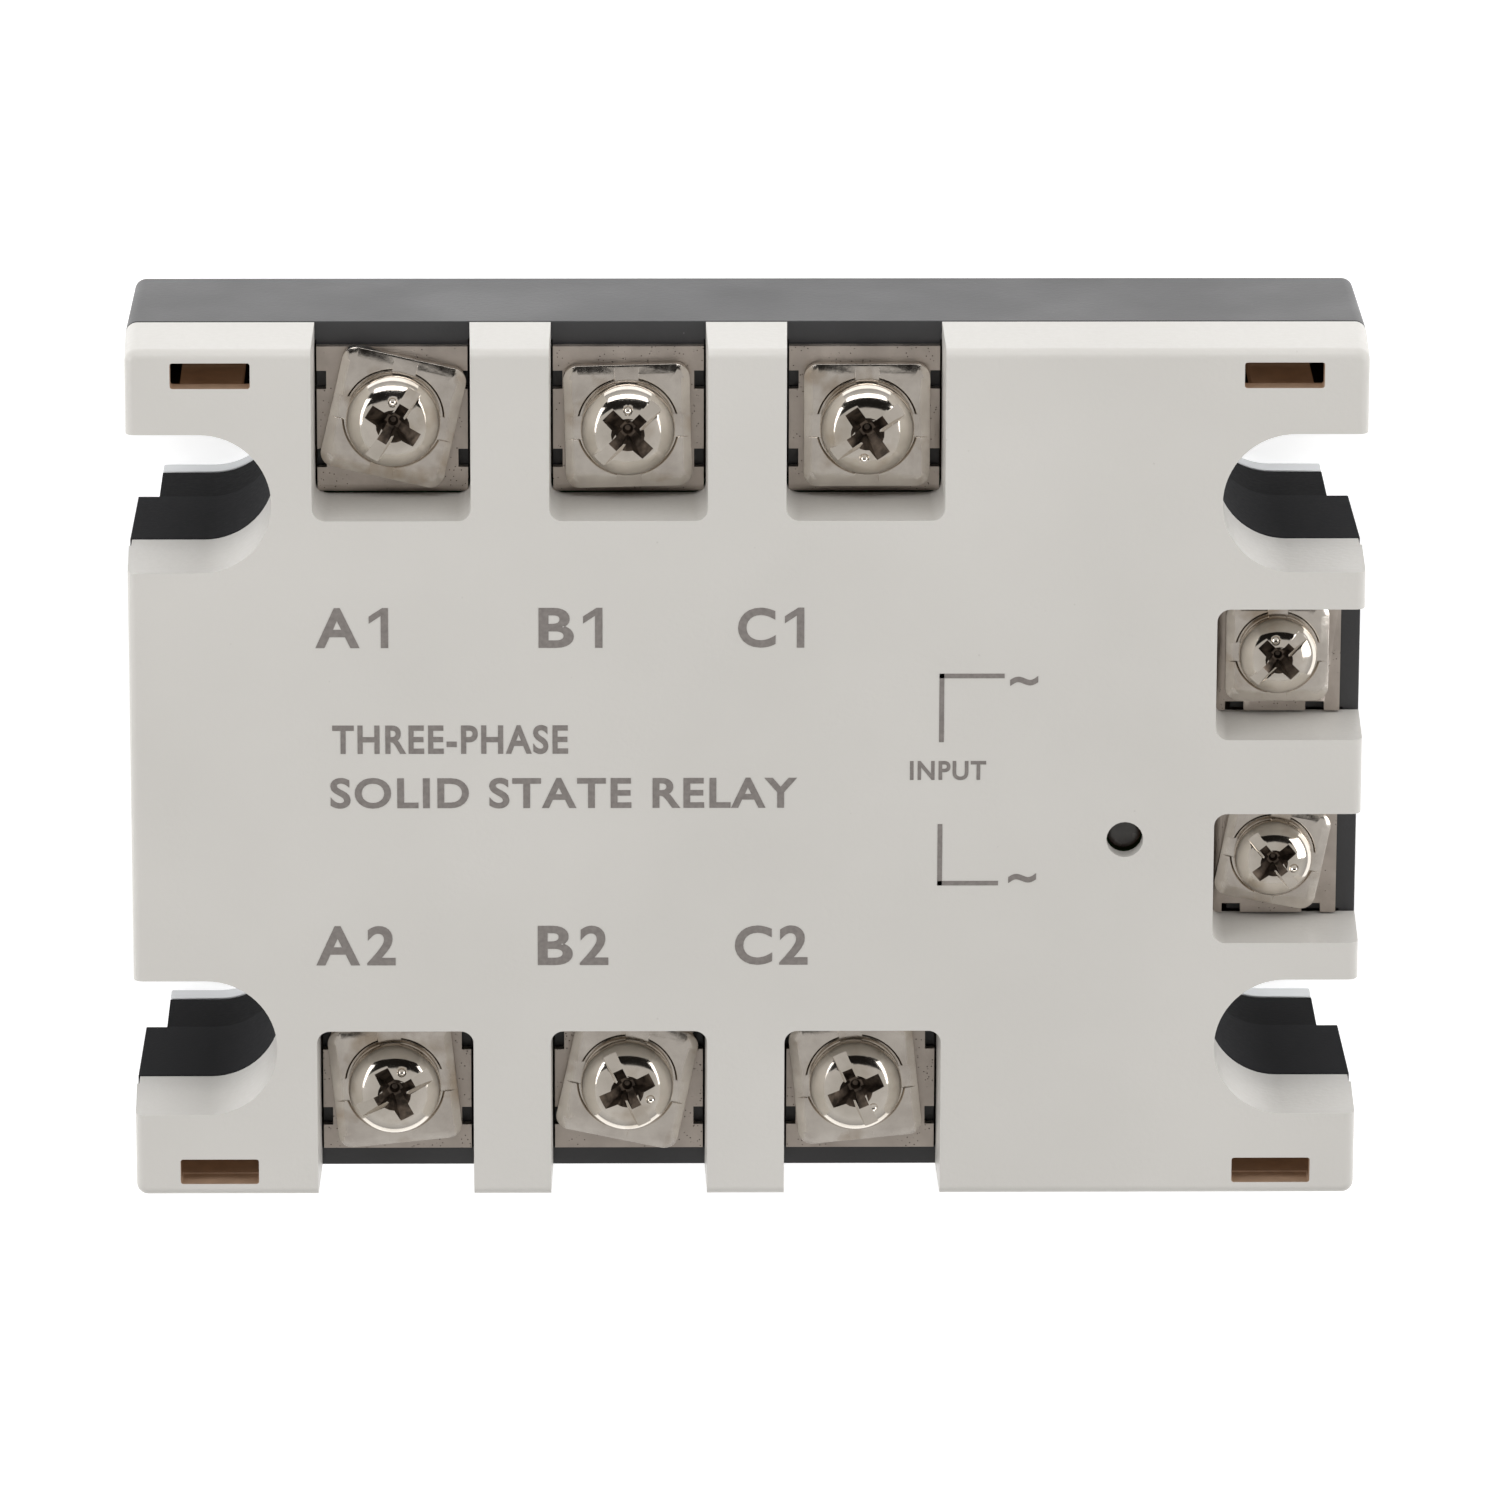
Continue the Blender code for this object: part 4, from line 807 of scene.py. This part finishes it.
HEAD_FLOOR, HEAD_EDGE, SCREW_EDGE = 26.85, 0.12, 0.06
THREAD_DEPTH, THREAD_PLAY, THREAD_END = 0.36, 0.06, 0.6
TIP_WIDE, TIP_HIGH = 0.3, 0.35
CREST_START, CREST_END, ROOT_START = 0.42, 0.54, 0.96   # up the pitch
HEAD_DOME = ((1.0, 0.34), (0.985, 0.47), (0.94, 0.6), (0.87, 0.71), (0.78, 0.81), (0.67, 0.885), (0.54, 0.94),
             (0.38, 0.98), (0.2, 0.997), (0.0, 1.0))   # out and up, as shares of the head's radius and height

# Shares of the head's radius and height and of the slot's half-width. How far a cutter stands above is in mm.
SLOT_DEPTH = 0.3
CONE_TIP, CONE_MOUTH, CONE_DEPTH, CONE_ABOVE = 0.06, 0.43, 0.92, 0.51
ARM_ROOT, ARM_REACH, ARM_THIN, ARM_DEPTH, ARM_ABOVE = 0.16, 0.76, 0.55, 0.76, 0.4
ARM_WIDTHS = (0.94, 1.25)
MARK_PLACE, MARK_RADIUS, MARK_RISE = 0.54, 0.45, 0.04


def polished_nickel():
    """Brighter plating for the screw heads, which the header's die leaves smooth."""
    metal = Finish("polished_nickel", Metallic=1.0)
    cloud = metal.noise(420.0, 4.0)
    stain = metal.noise(300.0, 3.0)
    tone = metal.ramp(cloud, (0.3, (0.66, 0.61, 0.54)), (0.7, (0.80, 0.74, 0.67)))
    brown = metal.range(stain, 0.55, 0.75, 0.0, 0.5)
    metal.set(Base_Color=metal.mix(brown, tone, (0.40, 0.31, 0.21, 1.0)),
              Roughness=metal.range(cloud, 0.3, 0.7, 0.06, 0.14))
    return metal.bump(cloud, 0.02)


def recess_painted_shade():
    """Painted shade down in the driver's recess: dark mottled metal that stands in for the shadow there."""
    metal = Finish("recess_painted_shade", Metallic=0.85)
    shade_mottle = metal.noise(1200.0, 3.0)
    metal.set(Base_Color=metal.ramp(shade_mottle, (0.35, (0.06, 0.047, 0.037)), (0.7, (0.20, 0.155, 0.12))),
              Roughness=metal.range(shade_mottle, 0.3, 0.7, 0.28, 0.5))
    return metal.bump(shade_mottle, 0.04)


def screw_profile(family, radius, rise):
    """The screw in side view, from the tip's middle out and up the thread to the top of the head."""
    minor, major = family["thread"] / 2 - THREAD_DEPTH, family["thread"] / 2 - THREAD_PLAY
    tip, pitch = HEAD_SEAT - family["length"], family["pitch"]
    profile = [(0.0, tip), (minor - TIP_WIDE, tip), (minor, tip + TIP_HIGH)]
    level = tip + TIP_HIGH
    while level + pitch < HEAD_FLOOR - THREAD_END:
        profile += [(major, level + CREST_START * pitch), (major, level + CREST_END * pitch),
                    (minor, level + ROOT_START * pitch)]
        level += pitch
    profile += [(minor, HEAD_FLOOR), (radius - HEAD_EDGE, HEAD_FLOOR), (radius, HEAD_FLOOR + HEAD_EDGE)]
    return profile + [(radius * across, HEAD_FLOOR + rise * up) for across, up in HEAD_DOME]


def driver_recess(radius, rise, slot):
    """One cutter for the straight slot and the cross, a cone with two arms that widen upwards; the cross's
    faces take the painted shade.
    """
    top = HEAD_FLOOR + rise
    made = shape(slab((-LONG, -slot, top - SLOT_DEPTH * rise), (LONG, slot, top + 2 * OVER)), "driver")
    cone = drum((0, 0), radius * CONE_TIP, top - CONE_DEPTH * rise, top + CONE_ABOVE, radius * CONE_MOUTH,
                steps=24)
    cross = [shape(cone, "recess")]
    for quarter, wide in enumerate(ARM_WIDTHS):
        across, thin = radius * ARM_ROOT, slot * ARM_THIN
        arm = slab((-across, -thin, top - ARM_DEPTH * rise), (across, thin, top + ARM_ABOVE))
        for v in arm.verts:
            if v.co.z > top:
                v.co.x = math.copysign(radius * ARM_REACH, v.co.x)
                v.co.y = math.copysign(slot * wide, v.co.y)
        cross.append(shape(arm, "arm", Matrix.Rotation(math.pi / 2 * quarter, 4, "Z")))
    # The cross's faces take the second finish, the recess's painted shade.
    return join(made, lining(cross), "UNION")


def screw(name, finish, recess):
    terminal = TERMINALS[name]
    family = terminal.family
    radius, rise = family["head"] / 2, HEAD_SEAT + family["height"] - HEAD_FLOOR
    made = turned(screw_profile(family, radius, rise), "screw_" + name, (0, 0), steps=96)
    driver = driver_recess(radius, rise, family["slot"] / 2)
    angle, out = math.radians(terminal.mark_turn - terminal.screw_turn), radius * MARK_PLACE
    spot = Matrix.Translation((out * math.cos(angle), out * math.sin(angle), HEAD_FLOOR + rise + MARK_RISE))
    mark = bmesh.new()
    bmesh.ops.create_uvsphere(mark, u_segments=24, v_segments=16, radius=MARK_RADIUS, matrix=spot)
    join(made, [driver, shape(mark, "mark")], "DIFFERENCE")
    soften(made, SCREW_EDGE, steps=2, angle=40.0)
    seat = seat_of(name, terminal.screw_turn)
    seat.translation *= MM
    made.data.transform(seat)
    # The second finish is the recess's painted shade.
    wear(made, finish, recess)
    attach(made, "screw_" + name)
    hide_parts("terminal_screw_" + name)


# The recess finish is painted shade.
head_metal, recess_shade_metal = polished_nickel(), recess_painted_shade()
for name in TERMINALS:
    screw(name, head_metal, recess_shade_metal)


# ---- Printed marks
# Pad-printed grey ink on the cover: the terminal marks, the word for the input, its bracket and the sign for
# an alternating supply, and a plain description of what the module is.

INK_THICK, LETTER_WEIGHT, LETTER_SPACING, BAR = 0.03, 0.024, 1.12, 0.62
FLAG_WIDE, FLAG_DROP, FLAG_TOP, FLAG_HEEL = 1.0, 0.75, 0.8, 0.1   # the last two as shares of the bar
LINE_ROW, LOAD_ROW, CAP = 11.47, -16.58, 3.5
FIGURE_END, FIGURE_GAP, FIGURE_WIDE = 2.4, 0.6, 2.4


def grey_ink():
    ink = Finish("grey_ink", IOR=1.45)
    grain = ink.noise(2600.0, 3.0)
    ink.set(Base_Color=ink.ramp(grain, (0.3, (0.175, 0.158, 0.148)), (0.7, (0.225, 0.205, 0.192))),
            Roughness=ink.range(grain, 0.3, 0.7, 0.45, 0.6))
    return ink.bump(grain, 0.01)


ink = grey_ink()


def printed(name, mesh):
    made = bpy.data.objects.new(name, mesh)
    bpy.context.scene.collection.objects.link(made)
    mesh.materials.clear()
    mesh.materials.append(ink.material)
    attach(made, "root")


def printed_shape(name, bm):
    """Ink drawn in mm, made a mesh in metres and printed."""
    bmesh.ops.scale(bm, vec=(MM, MM, MM), verts=bm.verts)
    mesh = bpy.data.meshes.new(name)
    bm.to_mesh(mesh)
    bm.free()
    printed(name, mesh)


def word(name, text, low, high):
    """Lettering that fills a box in mm on the cover's face."""
    data = bpy.data.curves.new(name, "FONT")
    data.body, data.extrude, data.resolution_u = text, 0.5, 6
    data.offset, data.space_character = LETTER_WEIGHT, LETTER_SPACING
    holder = bpy.data.objects.new(name, data)
    bpy.context.scene.collection.objects.link(holder)
    bpy.context.view_layer.update()
    mesh = bpy.data.meshes.new_from_object(holder.evaluated_get(bpy.context.evaluated_depsgraph_get()))
    bpy.data.objects.remove(holder, do_unlink=True)
    at = [v.co for v in mesh.vertices]
    near = Vector([min(c[i] for c in at) for i in range(3)])
    far = Vector([max(c[i] for c in at) for i in range(3)])
    size = Vector((high[0] - low[0], high[1] - low[1], INK_THICK))
    scale = Matrix.Diagonal((*[size[i] / (far[i] - near[i]) * MM for i in range(3)], 1.0))
    start = Matrix.Translation(Vector((low[0], low[1], HEIGHT)) * MM)
    mesh.transform(start @ scale @ Matrix.Translation(-near))
    printed(name, mesh)


def numeral_one(name, right, low, tall):
    """A figure one: an upright bar with a flag, drawn flat and given the ink's thickness."""
    flag_end, flag_top = -BAR - FLAG_WIDE, tall - FLAG_DROP
    outline = [(-BAR, 0.0), (0.0, 0.0), (0.0, tall), (-BAR * FLAG_TOP, tall), (flag_end, flag_top),
               (flag_end, flag_top - BAR), (-BAR, flag_top + BAR * FLAG_HEEL)]
    bm = raised([(right + x, low + y, HEIGHT) for x, y in outline], (0, 0, INK_THICK))
    bmesh.ops.recalc_face_normals(bm, faces=bm.faces)
    printed_shape(name, bm)


def strokes(name, bars):
    """Straight bars between pairs of corners in mm."""
    bm = bmesh.new()
    for (x0, y0), (x1, y1) in bars:
        middle = Matrix.Translation(((x0 + x1) / 2, (y0 + y1) / 2, HEIGHT + INK_THICK / 2))
        size = Matrix.Diagonal((x1 - x0, y1 - y0, INK_THICK, 1.0))
        bmesh.ops.create_cube(bm, size=1.0, matrix=middle @ size)
    printed_shape(name, bm)


for letter, x, wide in (("A", -36.14, 3.7), ("B", -17.45, 2.95), ("C", -0.75, 3.15)):
    word("mark_" + letter + "1_letter", letter, (x, LINE_ROW), (x + wide, LINE_ROW + CAP))
    numeral_one("mark_" + letter + "1_figure", x + wide + FIGURE_END, LINE_ROW, CAP)
for letter, x, wide in (("A", -36.32, 3.7), ("B", -17.6, 2.95), ("C", -0.95, 3.15)):
    figure = x + wide + FIGURE_GAP
    word("mark_" + letter + "2_letter", letter, (x, LOAD_ROW), (x + wide, LOAD_ROW + CAP))
    word("mark_" + letter + "2_figure", "2", (figure, LOAD_ROW), (figure + FIGURE_WIDE, LOAD_ROW + CAP))
word("words_phase", "THREE-PHASE", (-34.8, 2.14), (-15.0, 4.7))
word("words_relay", "SOLID STATE RELAY", (-35.0, -2.66), (4.25, 0.05))
word("words_input", "INPUT", (13.74, -0.21), (20.15, 1.48))
word("sign_upper", "~", (22.1, 8.07), (24.45, 8.95))
word("sign_lower", "~", (22.1, -9.35), (24.45, -8.47))
strokes("bracket_upper", [((16.17, 3.14), (16.57, 9.16)), ((16.17, 8.76), (21.63, 9.16))])
strokes("bracket_lower", [((16.11, -9.54), (16.51, -4.10)), ((16.11, -9.54), (21.25, -9.14))])


# ---- Studio
# A white table under three soft boxes, in a pale room with a dark card overhead that the metal reflects. The
# camera looks down on the relay, leaning a little towards the side of its line terminals.

DISTANCE, TABLE_GAP = 0.90785, 0.0003   # in metres
LENS_LENGTH, SENSOR = 259.0632, 36.0    # in mm
TILT, SWING, ROLL = 0.3099776, -0.0135493, 0.0027241   # where the camera stands and how it rolls, in radians
YAW, PITCH = 0.00031961, 0.00259118   # how it looks past the cover's middle, in radians
CARD_LEAN, CARD_HALF, CARD_BLUR = 29.0, (0.27, 0.62), (0.03, 0.10)   # in degrees, then shares of a direction

top_of_table = bmesh.new()
bmesh.ops.create_grid(top_of_table, x_segments=1, y_segments=1, size=3.0,
                      matrix=Matrix.Translation((0, 0, -TABLE_GAP)))
table_mesh = bpy.data.meshes.new("table")
top_of_table.to_mesh(table_mesh)
top_of_table.free()
table = bpy.data.objects.new("table", table_mesh)
bpy.context.scene.collection.objects.link(table)
white = Finish("white_table", Roughness=0.9, Emission_Strength=0.5, Emission_Color=(1.0, 1.0, 1.0, 1.0))
haze = white.noise(2.0, 2.0)
white.set(Base_Color=white.ramp(haze, (0.3, (0.9, 0.9, 0.9)), (0.7, (0.92, 0.92, 0.92))))
table_mesh.materials.append(white.material)


def soft_box(name, place, size, power):
    """An area light that points at the relay."""
    data = bpy.data.lights.new(name, "AREA")
    data.shape, data.size, data.size_y, data.energy = "RECTANGLE", size[0], size[1], power
    box = bpy.data.objects.new(name, data)
    box.location = place
    box.rotation_euler = (-Vector(place)).to_track_quat("-Z", "Y").to_euler()
    bpy.context.scene.collection.objects.link(box)


soft_box("left_window", (-0.62, 0.10, 0.40), (0.5, 0.5), 2.4)
soft_box("right_window", (0.62, 0.10, 0.40), (0.5, 0.5), 2.4)
soft_box("far_window", (0.0, 0.46, 0.36), (0.7, 0.16), 1.1)

world = bpy.data.worlds.new("studio")
world.use_nodes = True
bpy.context.scene.world = world
room = Nodes(world.node_tree, "Generated")


def along(axis):
    """How far a direction of the room points along an axis."""
    return room.node("ShaderNodeVectorMath", {"operation": "DOT_PRODUCT"}, {0: room.place, 1: axis}, "Value")


def within(value, edge, blur):
    """1 inside a distance of zero, 0 outside it."""
    size = room.node("ShaderNodeMath", {"operation": "ABSOLUTE"}, {0: value})
    return room.range(size, edge, edge + blur, 1.0, 0.0)


lean = math.radians(CARD_LEAN)
card_front = along((0.0, math.sin(lean), math.cos(lean))).over(0.0)
card_height = within(along((0.0, math.cos(lean), -math.sin(lean))), CARD_HALF[0], CARD_BLUR[0])
card_width = within(along((1.0, 0.0, 0.0)), CARD_HALF[1], CARD_BLUR[1])
card = card_height * card_width * card_front
ceiling = room.ramp(along((0.0, 0.0, 1.0)), (0.0, (0.42, 0.42, 0.42)), (0.55, (0.62, 0.615, 0.605)),
                    (0.95, (0.53, 0.52, 0.505)))
sky = world.node_tree.nodes["Background"]
world.node_tree.links.new(room.mix(card, ceiling, (0.012, 0.011, 0.01, 1.0)).socket, sky.inputs["Color"])
sky.inputs["Strength"].default_value = 1.0


def swung(first, second, angle):
    """Two directions at right angles, turned together in their own plane."""
    return (first * math.cos(angle) + second * math.sin(angle),
            second * math.cos(angle) - first * math.sin(angle))


facing = Vector((math.sin(SWING) * math.cos(TILT), math.sin(TILT), math.cos(SWING) * math.cos(TILT)))
eye = Vector((0, 0, HEIGHT * MM)) + DISTANCE * facing
ahead = -facing
right = ahead.cross(Vector((0, 1, 0))).normalized()
right, up = swung(right, right.cross(ahead), ROLL)
ahead, right = swung(ahead, right, YAW)
ahead, up = swung(ahead, up, PITCH)
lens = bpy.data.cameras.new("camera")
lens.sensor_width, lens.lens = SENSOR, LENS_LENGTH
lens.clip_start, lens.clip_end = 0.01, 20.0
camera = bpy.data.objects.new("camera", lens)
camera.matrix_world = Matrix.Translation(eye) @ Matrix((right, up, -ahead)).transposed().to_4x4()
bpy.context.scene.collection.objects.link(camera)
bpy.context.scene.camera = camera
bpy.context.scene.view_settings.view_transform = "Standard"
